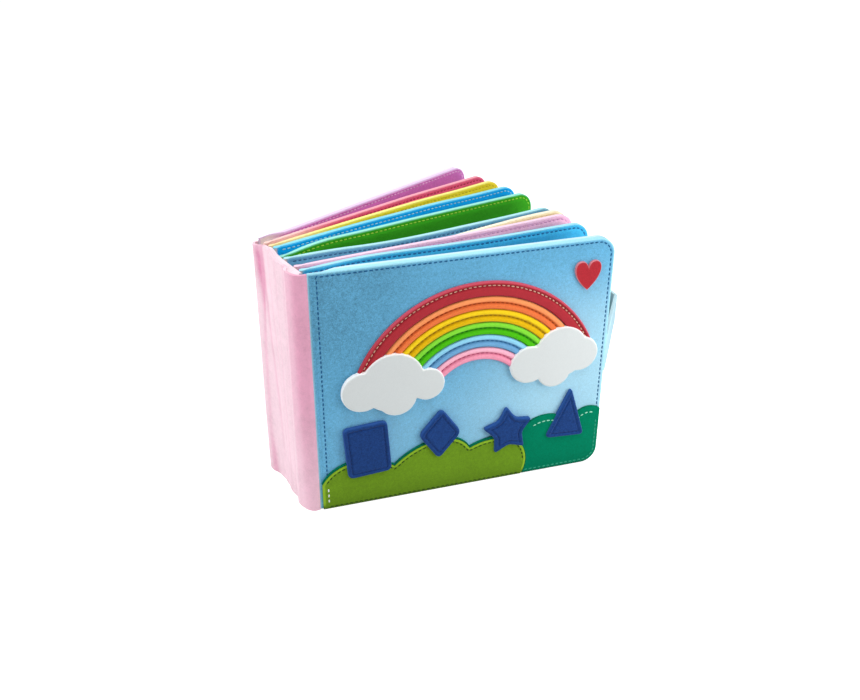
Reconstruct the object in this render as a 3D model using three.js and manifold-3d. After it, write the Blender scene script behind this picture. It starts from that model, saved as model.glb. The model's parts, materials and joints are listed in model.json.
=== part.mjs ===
// Felt quiet book standing fanned open: a cloth spine, two padded covers, eight padded
// felt pages that turn on the spine, a strap that closes the book, and felt shapes sewn
// to the front cover. +X runs from the spine to the fore-edge along the middle of the fan,
// -Y is the front cover's side and +Z is up. Millimetres and degrees.
import * as THREE from 'three';
import { mergeVertices } from 'three/addons/utils/BufferGeometryUtils.js';
import Module from 'manifold-3d';

const wasm = await Module();
wasm.setup();

// Covers
const coverWidth = 220;
const coverHeight = 188;
const coverThickness = 7.6;
const coverHem = 1.8;
const coverRestAngle = 15.65;
const cornerRadius = 13;

// Pages
const pageThickness = 5.4;
const pageHem = 1.9;
const pageForeInset = 1.5;
const pageLift = 1.5;

// Seams and clearances shared by the leaves
const leafGap = 2.2;
const coverGap = 1.1;
const sheetGap = 0.3;
const hingeGap = 0.35;
const hemWidth = 8;
const hemSlope = 9;
const edgeDrop = 0.6;
const edgeInset = 3.2;

// Spine
const clothThickness = 2.2;
const clothSeam = 1.4;
const liningThickness = 1.7;
const frontFoldDepthFoot = 5.3;
const frontFoldDepthHead = 3.1;
const frontFoldReachFoot = 17;
const frontFoldReachHead = 9;
const frontFoldPlace = 17.5;
const rearFoldDepth = 4.3;
const rearFoldReach = 6.5;
const rearFoldPlace = 12.5;
const clothJoin = 0.14;

// Closing strap
const strapWidth = 32;
const strapThickness = 2.4;
const strapEndLength = 36;
const strapEndRadius = 9;
const strapRestAngle = 58;
const strapEndRestAngle = 34;
const patchLength = 24;
const patchWidth = 22;
const patchThickness = 1.2;
const patchRadius = 3;
const patchSetback = 6;
const patchClearance = 0.4;

// Felt shapes on the front cover, measured from its spine edge and its foot
const heartThickness = 1.8;
const hillThickness = 1.5;
const bandThickness = 2.4;
const cloudThickness = 3.8;
const cloudRoll = 1.4;
const leftCloudReach = 25;
const rightCloudReach = 23.2;
const shapeThickness = 3.7;
const shapeRoll = 0.5;
const rainbowX = 118.2;
const rainbowZ = 70.5;
const rainbowRadius = 96.7;
const redBandWidth = 11.4;
const bandWidth = 9.85;
const rainbowEndAngle = 24;
const hillRim = 2.2;
const hillInset = 1.5;
const shapeWidth = 33;
const shapeHeight = 43;
const shapeCorner = 5;
const heartWidth = 21;
const heartHeight = 22;
const heartInset = 20.5;
const heartDrop = 26.5;

// Pages from the front: rest angle in the fan, colour of the sheet that faces the front
// cover and colour of the sheet behind it
const pages = [
  { name: 'page_1', angle: -8.9, front: '#3f9fd6', back: '#9fd8ec' },
  { name: 'page_2', angle: -5.4, front: '#eea6d2', back: '#f3dcea' },
  { name: 'page_3', angle: -5.1, front: '#fdeec6', back: '#fbeccb' },
  { name: 'page_4', angle: -4.6, front: '#6b94c4', back: '#a9dce6' },
  { name: 'page_5', angle: 2.45, front: '#35891f', back: '#8fd6d0' },
  { name: 'page_6', angle: 5.55, front: '#0f86d2', back: '#9fdcf0' },
  { name: 'page_7', angle: 8.35, front: '#efcf1c', back: '#f4e49a' },
  { name: 'page_8', angle: 10.65, front: '#c64c70', back: '#f0a9b0' },
];

// Places that follow from the sizes above
const leafPitch = pageThickness + leafGap;
const lastPageY = ((pages.length - 1) / 2) * leafPitch;
const coverMiddleY = lastPageY + (coverThickness + pageThickness) / 2 + coverGap;
const coverMiddle = (coverThickness - coverHem) / 2;
const coverAxisY = coverMiddleY + coverMiddle;
const coverFace = coverHem / 2;
const coverBack = coverThickness - coverFace;
const liningFaceX = -pageHem / 2 - hingeGap;
const liningHalf = lastPageY + leafPitch / 2;
const clothEndX = -coverHem / 2 - hingeGap;
const clothHalf = coverAxisY;
const hillLeft = clothSeam / 2 + sheetGap;
const recessX = liningFaceX - liningThickness - hingeGap - clothThickness / 2;
const pageWidth = coverWidth - pageForeInset;
const strapHalf = strapThickness / 2;
const strapAxisX = coverWidth + strapHalf + hingeGap;
const patchStack = 2 * (sheetGap + patchThickness) + patchClearance;
const strapSideLength = 2 * coverMiddleY + coverThickness / 2 + patchStack + strapHalf;
const strapMiddleZ = coverHeight / 2;
const column = coverWidth / 40;
const row = coverHeight / 40;

const felt = (colour) => new THREE.MeshStandardMaterial({ color: colour, roughness: 0.95, metalness: 0 });

const rad = THREE.MathUtils.degToRad;
const v2 = (x, y) => new THREE.Vector2(x, y);

// Booleans on closed meshes
function toSolid(geometry) {
  const bare = geometry.clone();
  bare.deleteAttribute('normal');
  bare.deleteAttribute('uv');
  const merged = mergeVertices(bare, 1e-4);
  const mesh = new wasm.Mesh({
    numProp: 3,
    vertProperties: new Float32Array(merged.attributes.position.array),
    triVerts: new Uint32Array(merged.index.array),
  });
  return new wasm.Manifold(mesh);
}

function toGeometry(solid) {
  const mesh = solid.getMesh();
  const geometry = new THREE.BufferGeometry();
  geometry.setAttribute('position', new THREE.BufferAttribute(new Float32Array(mesh.vertProperties), 3));
  geometry.setIndex(new THREE.BufferAttribute(new Uint32Array(mesh.triVerts), 1));
  return geometry;
}

function named(name, geometry, colour) {
  const flat = geometry.index ? geometry.toNonIndexed() : geometry;
  flat.computeVertexNormals();
  const mesh = new THREE.Mesh(flat, felt(colour));
  mesh.name = name;
  return mesh;
}

// Shape drawn in X and Z, made thick in Y from yBack towards -Y
function flatPiece(shape, yBack, thickness, segments = 10) {
  const geometry = new THREE.ExtrudeGeometry(shape, {
    depth: thickness,
    bevelEnabled: false,
    curveSegments: segments,
  });
  geometry.rotateX(Math.PI / 2);
  geometry.translate(0, yBack, 0);
  return geometry;
}

// The same with rolled edges, from Y = 0
function rolledPiece(shape, thickness, roll, segments) {
  const geometry = new THREE.ExtrudeGeometry(shape, {
    depth: thickness - 2 * roll,
    bevelThickness: roll,
    bevelSize: roll,
    bevelOffset: -roll,
    bevelSegments: 2,
    curveSegments: segments,
  });
  geometry.rotateX(Math.PI / 2);
  geometry.translate(0, -roll, 0);
  return geometry;
}

// Shape drawn in X and Y, made tall in Z
function tallPiece(shape, zFoot, height, segments = 6) {
  const geometry = new THREE.ExtrudeGeometry(shape, {
    depth: height,
    bevelEnabled: false,
    curveSegments: segments,
  });
  geometry.translate(0, 0, zFoot);
  return geometry;
}

// Polygon with its corners rounded
function roundedPolygon(points, radius) {
  const shape = new THREE.Shape();
  points.forEach((corner, i) => {
    const before = points[(i + points.length - 1) % points.length];
    const after = points[(i + 1) % points.length];
    const reachIn = Math.min(radius, corner.distanceTo(before) / 2);
    const reachOut = Math.min(radius, corner.distanceTo(after) / 2);
    const start = corner.clone().add(before.clone().sub(corner).setLength(reachIn));
    const end = corner.clone().add(after.clone().sub(corner).setLength(reachOut));
    if (i === 0) shape.moveTo(start.x, start.y);
    else shape.lineTo(start.x, start.y);
    shape.quadraticCurveTo(corner.x, corner.y, end.x, end.y);
  });
  shape.closePath();
  return shape;
}

// Outline of a leaf: square at the spine, round at the fore-edge
function leafOutline(left, right, foot, head, radius) {
  const shape = new THREE.Shape();
  shape.moveTo(left, foot);
  shape.lineTo(right - radius, foot);
  shape.absarc(right - radius, foot + radius, radius, -Math.PI / 2, 0, false);
  shape.absarc(right - radius, head - radius, radius, 0, Math.PI / 2, false);
  shape.lineTo(left, head);
  shape.closePath();
  return shape;
}

// Padded slab between two planes of Y: its outer face rolls off to a thinner edge
function paddedSlab(inner, outer, left, right, foot, head) {
  const side = Math.sign(outer - inner);
  const levels = [
    [inner, 0],
    [outer - side * edgeDrop, 0],
    [outer - side * edgeDrop * 0.3, edgeInset * 0.35],
    [outer, edgeInset],
  ];
  const rings = levels.map(([y, inset]) => {
    const radius = Math.max(cornerRadius - inset, 1);
    const outline = leafOutline(left, right - inset, foot + inset, head - inset, radius);
    const flat = outline.extractPoints(6).shape;
    const last = flat[flat.length - 1];
    if (last.distanceTo(flat[0]) < 1e-6) flat.pop();
    return flat.map((p) => new THREE.Vector3(p.x, y, p.y));
  });
  return ringSolid(rings);
}

// Closed mesh through rings of equal count, flat at the first and the last ring. The section
// says how to fill those two ends
function ringSolid(rings, section = rings[0].map((p) => new THREE.Vector2(p.x, p.z))) {
  const count = rings[0].length;
  const positions = rings.flat().flatMap((p) => [p.x, p.y, p.z]);
  const index = [];
  for (let k = 0; k + 1 < rings.length; k += 1) {
    for (let i = 0; i < count; i += 1) {
      const j = (i + 1) % count;
      const a = k * count + i;
      const b = k * count + j;
      index.push(a, b, b + count, a, b + count, a + count);
    }
  }
  const clockwise = THREE.ShapeUtils.isClockWise(section);
  const top = (rings.length - 1) * count;
  for (const face of THREE.ShapeUtils.triangulateShape(section, [])) {
    const [a, b, c] = clockwise ? [...face].reverse() : face;
    index.push(a, c, b, top + a, top + b, top + c);
  }
  const geometry = new THREE.BufferGeometry();
  geometry.setAttribute('position', new THREE.Float32BufferAttribute(positions, 3));
  geometry.setIndex(index);
  if (signedVolume(geometry) < 0) {
    for (let i = 0; i < index.length; i += 3) {
      [index[i], index[i + 1]] = [index[i + 1], index[i]];
    }
    geometry.setIndex(index);
  }
  return geometry;
}

function signedVolume(geometry) {
  const p = geometry.attributes.position;
  const at = (i) => new THREE.Vector3().fromBufferAttribute(p, i);
  let sum = 0;
  for (let i = 0; i < geometry.index.count; i += 3) {
    const [a, b, c] = [0, 1, 2].map((k) => at(geometry.index.getX(i + k)));
    sum += a.dot(b.cross(c));
  }
  return sum;
}

// Plan of a page sheet on one side of the leaf's middle: a quarter round about the hinge,
// a thin sewn hem, a slope and the padded part
function pagePlan(side, right) {
  const hem = pageHem / 2;
  const near = sheetGap / 2;
  const far = pageThickness / 2 + 1;
  const turn = Math.asin(near / hem);
  const shape = new THREE.Shape();
  shape.moveTo(right + 1, side * near);
  shape.lineTo(-hem * Math.cos(turn), side * near);
  for (let k = 1; k <= 4; k += 1) {
    const angle = turn + ((Math.PI / 2 - turn) * k) / 4;
    shape.lineTo(-hem * Math.cos(angle), side * hem * Math.sin(angle));
  }
  shape.lineTo(hemWidth, side * hem);
  shape.lineTo(hemWidth + hemSlope, (side * pageThickness) / 2);
  shape.lineTo(hemWidth + hemSlope, side * far);
  shape.lineTo(right + 1, side * far);
  shape.closePath();
  return shape;
}

function pageSheet(side) {
  const foot = pageLift;
  const head = coverHeight - pageLift;
  const near = (side * sheetGap) / 2;
  const slab = paddedSlab(near, (side * pageThickness) / 2, -pageHem, pageWidth, foot, head);
  const plan = tallPiece(pagePlan(side, pageWidth), foot - 1, head - foot + 2);
  return toGeometry(toSolid(slab).intersect(toSolid(plan)));
}

// Cover sheets: the outer felt runs flat to the hinge and thins from the inside only, and
// the lining starts beyond the hem. side is -1 for the front cover and 1 for the back
function coverOuterPlan(side) {
  const hem = coverHem / 2;
  const middle = coverMiddle - sheetGap / 2;
  const shape = new THREE.Shape();
  shape.moveTo(coverWidth + 1, side * (coverFace + 1));
  shape.lineTo(0, side * (coverFace + 1));
  for (let k = 0; k <= 8; k += 1) {
    const angle = Math.PI / 2 - (Math.PI * k) / 8;
    shape.lineTo(-hem * Math.cos(angle), side * hem * Math.sin(angle));
  }
  shape.lineTo(hemWidth, -side * hem);
  shape.lineTo(hemWidth + hemSlope, -side * middle);
  shape.lineTo(coverWidth + 1, -side * middle);
  shape.closePath();
  return shape;
}

function coverLiningPlan(side) {
  const near = coverMiddle + sheetGap / 2;
  const start = hemWidth + hemSlope / 2;
  const shape = new THREE.Shape();
  shape.moveTo(coverWidth + 1, -side * near);
  shape.lineTo(start, -side * near);
  shape.lineTo(start, -side * (near + coverHem / 2));
  shape.lineTo(start + hemSlope, -side * coverBack);
  shape.lineTo(start + hemSlope, -side * (coverBack + 1));
  shape.lineTo(coverWidth + 1, -side * (coverBack + 1));
  shape.closePath();
  return shape;
}

function coverSheet(side, plan, inner, outer) {
  const slab = paddedSlab(inner, outer, -coverHem, coverWidth, 0, coverHeight);
  const tall = tallPiece(plan, -1, coverHeight + 2);
  return toGeometry(toSolid(slab).intersect(toSolid(tall)));
}

function coverPair(group, name, side, outerColour, liningColour) {
  const middle = coverMiddle;
  const outerSlab = coverSheet(side, coverOuterPlan(side), -side * middle, side * coverFace);
  const liningSlab = coverSheet(side, coverLiningPlan(side), -side * middle, -side * coverBack);
  group.add(named(`${name}_outer_felt`, outerSlab, outerColour));
  group.add(named(`${name}_lining_felt`, liningSlab, liningColour));
}

const book = new THREE.Group();
book.name = 'quiet_book';

// Spine: a plush cloth in two halves, with a broad fold behind the front cover and a tighter
// one before the back cover, over a flat strip that the page hems are sewn to
function clothCentre(s, v) {
  const turn = (Math.PI / 2) * s * s * s;
  const y = clothHalf * Math.sign(s) * Math.cbrt(Math.abs(Math.sin(turn)));
  const depth = THREE.MathUtils.lerp(frontFoldDepthFoot, frontFoldDepthHead, v);
  const reach = THREE.MathUtils.lerp(frontFoldReachFoot, frontFoldReachHead, v);
  const front = depth * Math.exp(-(((y + clothHalf - frontFoldPlace) / reach) ** 2));
  const rear = rearFoldDepth * Math.exp(-(((y - clothHalf + rearFoldPlace) / rearFoldReach) ** 2));
  const x = clothEndX + (recessX - front - rear - clothEndX) * Math.cos(turn);
  return new THREE.Vector2(x, y);
}

function spineCloth(from, to, steps) {
  const rows = 3;
  const rings = [];
  for (let r = 0; r <= rows; r += 1) {
    const v = r / rows;
    const outside = [];
    const inside = [];
    for (let i = 0; i <= steps; i += 1) {
      const s = THREE.MathUtils.lerp(from, to, i / steps);
      const here = clothCentre(s, v);
      const ahead = clothCentre(Math.min(s + 0.01, 1), v);
      const behind = clothCentre(Math.max(s - 0.01, -1), v);
      const along = ahead.sub(behind).normalize();
      const half = THREE.MathUtils.lerp(clothThickness, clothSeam, s ** 8) / 2;
      const out = new THREE.Vector2(-along.y, along.x).multiplyScalar(half);
      outside.push(here.clone().add(out));
      inside.push(here.clone().sub(out));
    }
    const loop = [...outside, ...inside.reverse()];
    rings.push(loop.map((p) => new THREE.Vector3(p.x, v * coverHeight, p.y)));
  }
  const geometry = ringSolid(rings);
  const p = geometry.attributes.position;
  for (let i = 0; i < p.count; i += 1) {
    p.setXYZ(i, p.getX(i), p.getZ(i), p.getY(i));
  }
  const index = Array.from(geometry.index.array);
  for (let i = 0; i < index.length; i += 3) {
    [index[i], index[i + 1]] = [index[i + 1], index[i]];
  }
  geometry.setIndex(index);
  return geometry;
}

const spine = new THREE.Group();
const joinHalf = sheetGap / 2 / (clothHalf * Math.cbrt(Math.PI / 2));
spine.add(named('spine_cloth_front', spineCloth(-1, clothJoin - joinHalf, 26), '#f3cfd6'));
spine.add(named('spine_cloth_rear', spineCloth(clothJoin + joinHalf, 1, 22), '#f3cfd6'));
const liningBox = new THREE.BoxGeometry(liningThickness, 2 * liningHalf, coverHeight - 2 * pageLift);
liningBox.translate(liningFaceX - liningThickness / 2, 0, coverHeight / 2);
spine.add(named('spine_lining', liningBox, '#efd9dd'));
book.add(spine);

// Front cover
const frontCover = new THREE.Group();
frontCover.position.set(0, -coverAxisY, 0);
frontCover.rotation.z = -rad(coverRestAngle);
coverPair(frontCover, 'front_cover', -1, '#86bfe0', '#9cc9e6');
book.add(frontCover);

const face = -coverFace - sheetGap;

// Rainbow: concentric padded bands. Across its width a band swells on both sides of a sewn
// channel; each pair is a share of the width from the inner edge and a share of the thickness
const bandSection = [
  [0, 0],
  [1, 0],
  [1, 0.5],
  [0.93, 0.86],
  [0.78, 1],
  [0.6, 0.74],
  [0.4, 1],
  [0.15, 0.92],
  [0, 0.5],
];

function band(outer, inner) {
  const steps = 26;
  const width = outer - inner;
  const rings = Array.from({ length: steps + 1 }, (_, i) => {
    const angle = THREE.MathUtils.lerp(rightEnd, leftEnd, i / steps);
    return bandSection.map(([across, rise]) => {
      const radius = inner + across * width;
      const x = rainbowX + radius * Math.cos(angle);
      const z = rainbowZ + radius * Math.sin(angle);
      return new THREE.Vector3(x, face - rise * bandThickness, z);
    });
  });
  return ringSolid(rings, bandSection.map(([across, rise]) => v2(across * width, rise * bandThickness)));
}

const rightEnd = rad(rainbowEndAngle);
const leftEnd = Math.PI - rightEnd;
const bandNames = ['red', 'orange', 'yellow', 'green', 'blue', 'pink'];
const bandColours = ['#b8303a', '#f58048', '#f0c810', '#58c418', '#78b0d8', '#f6a0b8'];
let bandOuter = rainbowRadius;
bandNames.forEach((name, i) => {
  const width = i === 0 ? redBandWidth : bandWidth;
  const piece = band(bandOuter, bandOuter - width + sheetGap);
  frontCover.add(named(`rainbow_${name}`, piece, bandColours[i]));
  bandOuter -= width;
});
const rainbowInner = bandOuter + sheetGap;

// Clouds: four puffed lobes each, hollowed behind where they lie over the rainbow's ends
function puffedDisc(x, z, radius) {
  const front = face - cloudThickness;
  const levels = [
    [face, 0],
    [front + cloudRoll, 0],
    [front + cloudRoll * 0.35, cloudRoll * 0.35],
    [front, cloudRoll],
  ];
  const sides = 36;
  const rings = levels.map(([y, inset]) => Array.from({ length: sides }, (_, i) => {
    const angle = (2 * Math.PI * i) / sides;
    const reach = radius - inset;
    return new THREE.Vector3(x + reach * Math.cos(angle), y, z + reach * Math.sin(angle));
  }));
  return ringSolid(rings);
}

function rainbowRecess() {
  const outer = rainbowRadius + sheetGap;
  const inner = rainbowInner - sheetGap;
  const turn = sheetGap / inner;
  const shape = new THREE.Shape();
  shape.absarc(rainbowX, rainbowZ, outer, rightEnd - turn, leftEnd + turn, false);
  shape.absarc(rainbowX, rainbowZ, inner, leftEnd + turn, rightEnd - turn, true);
  shape.closePath();
  return toSolid(flatPiece(shape, face + 1, bandThickness + sheetGap + 1, 28));
}

function cloud(lobes) {
  const solids = lobes.map(([x, z, radius]) => toSolid(puffedDisc(x, z, radius)));
  const whole = solids.reduce((sum, lobe) => sum.add(lobe));
  return toGeometry(whole.subtract(rainbowRecess()));
}

const rainbowMiddle = (rainbowRadius + rainbowInner) / 2;

// Lobes round the middle of a rainbow end: offset along the cover, offset up and radius, all
// as shares of the cloud's reach
function lobesAt(angle, reach, lobes) {
  const x = rainbowX + rainbowMiddle * Math.cos(angle);
  const z = rainbowZ + rainbowMiddle * Math.sin(angle);
  return lobes.map(([across, up, size]) => [x + across * reach, z + up * reach, size * reach]);
}

const leftCloudLobes = lobesAt(leftEnd, leftCloudReach, [
  [-0.99, -0.03, 0.63],
  [-0.08, 0.04, 1],
  [0.93, -0.07, 0.51],
  [0.02, -0.31, 0.68],
]);
const rightCloudLobes = lobesAt(rightEnd, rightCloudReach, [
  [-0.94, 0.03, 0.67],
  [0.09, 0.17, 1],
  [0.86, 0.06, 0.57],
  [-0.05, -0.32, 0.635],
]);
frontCover.add(named('cloud_left', cloud(leftCloudLobes), '#e6e8e8'));
frontCover.add(named('cloud_right', cloud(rightCloudLobes), '#e6e8e8'));

// Hills: three light humps along the foot, with a dark felt that shows as a rim above them
// and rises to two humps at the fore-edge corner. Laid out in columns and rows, forty of
// each to the cover
function lightHillShape(grow) {
  const right = 28.9 * column + grow;
  const up = (rows) => rows * row + grow;
  const shape = new THREE.Shape();
  shape.moveTo(hillLeft, -grow);
  shape.lineTo(hillLeft, up(4.5));
  shape.bezierCurveTo(1.5 * column, up(7.5), 5.8 * column, up(9.4), 10.1 * column, up(5.8));
  shape.bezierCurveTo(13 * column, up(9.2), 18.7 * column, up(11), 20.7 * column, up(6.7));
  shape.bezierCurveTo(23 * column, up(8.1), 28.6 * column + grow, up(8.7), right, 3 * row);
  shape.quadraticCurveTo(right, 1.4 * row, right - 0.6 * column, -grow);
  shape.closePath();
  return shape;
}

function darkHillShape(grow) {
  const right = coverWidth - hillInset + grow;
  const corner = cornerRadius - hillInset;
  const up = (rows) => rows * row + hillRim + grow;
  const shape = new THREE.Shape();
  shape.moveTo(hillLeft - grow, 2 * row);
  shape.lineTo(hillLeft - grow, up(4.5));
  shape.bezierCurveTo(1.5 * column, up(7.5), 5.8 * column, up(9.4), 10.1 * column, up(5.8));
  shape.bezierCurveTo(13 * column, up(9.2), 18.7 * column, up(11), 20.7 * column, up(6.7));
  shape.bezierCurveTo(22.9 * column, up(8.1), 26.5 * column, up(7.9), 28.2 * column, up(8.1));
  shape.bezierCurveTo(29.8 * column, up(10.9), 33.8 * column, up(10.9), 35.3 * column, up(8.2));
  shape.bezierCurveTo(36.4 * column, up(10.5), 38.7 * column, up(11.2), right, up(8.5));
  shape.lineTo(right, cornerRadius);
  shape.absarc(coverWidth - cornerRadius, cornerRadius, corner + grow, 0, -Math.PI / 2, true);
  shape.lineTo(27.3 * column, hillInset - grow);
  shape.lineTo(27.3 * column, 2 * row);
  shape.closePath();
  return shape;
}

const lightHill = flatPiece(lightHillShape(0), face, hillThickness, 12);
const lightHillCut = flatPiece(lightHillShape(sheetGap), face + 1, hillThickness + 2, 12);
const darkHillWhole = toSolid(flatPiece(darkHillShape(0), face, hillThickness, 12));
frontCover.add(named('hill_light', lightHill, '#7a9c24'));
frontCover.add(named('hill_dark', toGeometry(darkHillWhole.subtract(toSolid(lightHillCut))), '#0b7a5c'));

// Four blue shapes and a red heart. The blue ones lie half on the hills and half on the
// cover, so their backs are cut away over the hills
const overHills = hillThickness + sheetGap;
const hillsCut = toSolid(flatPiece(lightHillShape(sheetGap), face + 1, overHills + 1, 12))
  .add(toSolid(flatPiece(darkHillShape(sheetGap), face + 1, overHills + 1, 12)));

const w = shapeWidth / 2;
const h = shapeHeight / 2;
const starArms = 5;
const starPoints = Array.from({ length: 2 * starArms }, (_, i) => {
  const reach = i % 2 === 0 ? 1 : 0.56;
  const angle = Math.PI / 2 + (Math.PI * i) / starArms;
  return v2(w * 1.25 * reach * Math.cos(angle), h * reach * Math.sin(angle) - h * 0.08);
});
const blueShapes = [
  { name: 'shape_square', c: 6.4, r: 9.9, turn: 4, points: [v2(-w, -h), v2(w, -h), v2(w, h), v2(-w, h)] },
  { name: 'shape_diamond', c: 16.4, r: 10.6, turn: -3, points: [v2(0, -h), v2(w, 0), v2(0, h), v2(-w, 0)] },
  { name: 'shape_star', c: 26.1, r: 9.4, turn: 5, points: starPoints },
  { name: 'shape_triangle', c: 34.9, r: 10.7, turn: -4, points: [v2(-w, -h), v2(w, -h), v2(0, h)] },
];
for (const item of blueShapes) {
  const outline = roundedPolygon(item.points, item.name === 'shape_star' ? shapeCorner * 0.6 : shapeCorner);
  const piece = rolledPiece(outline, shapeThickness, shapeRoll, 5);
  piece.rotateY(-rad(item.turn));
  piece.translate(item.c * column, face, item.r * row);
  frontCover.add(named(item.name, toGeometry(toSolid(piece).subtract(hillsCut)), '#2a4a9c'));
}

const heart = new THREE.Shape();
heart.moveTo(0, -heartHeight / 2);
heart.bezierCurveTo(-heartWidth * 0.62, 0, -heartWidth * 0.55, heartHeight / 2, -heartWidth * 0.24, heartHeight / 2);
heart.quadraticCurveTo(-heartWidth * 0.06, heartHeight / 2, 0, heartHeight * 0.27);
heart.quadraticCurveTo(heartWidth * 0.06, heartHeight / 2, heartWidth * 0.24, heartHeight / 2);
heart.bezierCurveTo(heartWidth * 0.55, heartHeight / 2, heartWidth * 0.62, 0, 0, -heartHeight / 2);
const heartPiece = flatPiece(heart, face, heartThickness, 8);
heartPiece.translate(coverWidth - heartInset, 0, coverHeight - heartDrop);
frontCover.add(named('shape_heart', heartPiece, '#c03040'));

// Pages
pages.forEach((page, i) => {
  const leaf = new THREE.Group();
  leaf.position.set(0, -lastPageY + i * leafPitch, 0);
  leaf.rotation.z = rad(page.angle);
  leaf.add(named(`${page.name}_front`, pageSheet(-1), page.front));
  leaf.add(named(`${page.name}_back`, pageSheet(1), page.back));
  book.add(leaf);
});

// Back cover with the loop patch that the strap fastens to
function patchShape(x, z) {
  const l = patchLength / 2;
  const d = patchWidth / 2;
  const corners = [v2(x - l, z - d), v2(x + l, z - d), v2(x + l, z + d), v2(x - l, z + d)];
  return roundedPolygon(corners, patchRadius);
}

const patchMiddle = patchSetback + patchLength / 2;
const backCover = new THREE.Group();
backCover.position.set(0, coverAxisY, 0);
backCover.rotation.z = rad(coverRestAngle);
coverPair(backCover, 'back_cover', 1, '#b9a6d8', '#b050a8');
const loopBack = coverFace + sheetGap + patchThickness;
const loopPatch = flatPiece(patchShape(strapAxisX - patchMiddle, strapMiddleZ), loopBack, patchThickness, 4);
backCover.add(named('strap_loop_patch', loopPatch, '#dfe9f2'));
book.add(backCover);

// Closing strap: the side spans the closed book and the end laps over the back cover
const strapSide = new THREE.Group();
strapSide.position.set(strapAxisX, coverMiddle, strapMiddleZ);
strapSide.rotation.z = rad(strapRestAngle);
const sideEnd = strapSideLength - strapHalf - hingeGap;
const sidePlan = new THREE.Shape();
sidePlan.absarc(0, 0, strapHalf, Math.PI / 2, (Math.PI * 3) / 2, false);
sidePlan.lineTo(sideEnd, -strapHalf);
sidePlan.lineTo(sideEnd, strapHalf);
sidePlan.closePath();
strapSide.add(named('strap_side', tallPiece(sidePlan, -strapWidth / 2, strapWidth, 8), '#c4e4f2'));
frontCover.add(strapSide);

const strapEnd = new THREE.Group();
strapEnd.position.set(strapSideLength, 0, 0);
strapEnd.rotation.z = rad(strapEndRestAngle);
const endPlan = new THREE.Shape();
endPlan.absarc(0, 0, strapHalf, Math.PI / 2, (Math.PI * 3) / 2, false);
endPlan.lineTo(strapEndLength + 1, -strapHalf);
endPlan.lineTo(strapEndLength + 1, strapHalf);
endPlan.closePath();
const endTall = tallPiece(endPlan, -strapWidth / 2 - 1, strapWidth + 2, 8);
const tongue = leafOutline(-strapThickness, strapEndLength, -strapWidth / 2, strapWidth / 2, strapEndRadius);
const endFlat = flatPiece(tongue, strapThickness, 2 * strapThickness, 6);
strapEnd.add(named('strap_end', toGeometry(toSolid(endTall).intersect(toSolid(endFlat))), '#c4e4f2'));
const hookBack = strapHalf + sheetGap + patchThickness;
strapEnd.add(named('strap_hook_patch', flatPiece(patchShape(patchMiddle, 0), hookBack, patchThickness, 4), '#d6e2ea'));
strapSide.add(strapEnd);

// The origin is under the middle of the object's box
book.updateMatrixWorld(true);
const box = new THREE.Box3().setFromObject(book);
const middle = box.getCenter(new THREE.Vector3());
book.position.set(-middle.x, -middle.y, -box.min.z);

export default book;
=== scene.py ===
# %% [markdown]
# # A felt quiet book, standing with its pages fanned
# The book is sewn from felt: a plush spine, two covers, eight padded pages and a picture of
# cut felt on the front. The solid model is already packed with its hinges, so it is loaded
# first as a fixed frame, and every piece made below takes the place of one of its solids.

# %% Load the frame
import json
import math
import random

import bpy
import numpy as np
from mathutils import Matrix, Vector, noise


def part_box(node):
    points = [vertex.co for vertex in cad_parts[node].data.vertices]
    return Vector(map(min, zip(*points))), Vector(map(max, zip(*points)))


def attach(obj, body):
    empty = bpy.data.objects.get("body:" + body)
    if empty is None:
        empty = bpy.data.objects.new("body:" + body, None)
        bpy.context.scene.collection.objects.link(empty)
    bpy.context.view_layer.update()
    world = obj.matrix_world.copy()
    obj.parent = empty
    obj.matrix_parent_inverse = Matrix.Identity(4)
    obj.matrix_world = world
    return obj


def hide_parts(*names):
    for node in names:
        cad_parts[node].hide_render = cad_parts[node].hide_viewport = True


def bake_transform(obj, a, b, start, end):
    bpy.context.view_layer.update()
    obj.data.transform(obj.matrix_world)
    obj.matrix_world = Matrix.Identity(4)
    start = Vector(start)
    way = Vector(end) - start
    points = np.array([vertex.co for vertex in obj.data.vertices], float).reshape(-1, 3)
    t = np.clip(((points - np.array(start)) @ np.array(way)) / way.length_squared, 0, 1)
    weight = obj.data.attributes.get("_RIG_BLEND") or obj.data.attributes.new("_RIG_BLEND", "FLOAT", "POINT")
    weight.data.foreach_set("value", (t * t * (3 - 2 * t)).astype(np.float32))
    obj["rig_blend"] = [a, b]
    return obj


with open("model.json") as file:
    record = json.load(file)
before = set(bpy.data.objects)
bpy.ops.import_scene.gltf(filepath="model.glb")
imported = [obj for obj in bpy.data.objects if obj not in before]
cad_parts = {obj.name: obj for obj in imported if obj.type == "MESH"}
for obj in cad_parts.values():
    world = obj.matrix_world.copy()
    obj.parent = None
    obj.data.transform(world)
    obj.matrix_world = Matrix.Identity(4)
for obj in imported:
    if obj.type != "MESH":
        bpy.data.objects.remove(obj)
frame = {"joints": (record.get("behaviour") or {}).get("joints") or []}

MM = 0.001
scene = bpy.context.scene
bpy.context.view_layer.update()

# %% [markdown]
# ## Where the leaves stand
# Each leaf is drawn flat, in its own small frame: x runs from its hinge to the fore-edge, y
# through its thickness and z up. A leaf is then turned about its hinge and set down there.
# The hinges are read from the frame, and the angles are those of the open fan.

# %% Hinges and angles of the fan
COVER_ANGLE = 15.65
PAGE_ANGLES = [-8.9, -5.4, -5.1, -4.6, 2.45, 5.55, 8.35, 10.65]
joint_at = {j["name"]: Vector(j["pos_m"]) for j in frame["joints"]}


def shift(x, y, z):
    """A move by millimetres."""
    return Matrix.Translation(Vector((x, y, z)) * MM)


def turned(degrees, axis="Z"):
    return Matrix.Rotation(math.radians(degrees), 4, axis)


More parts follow.
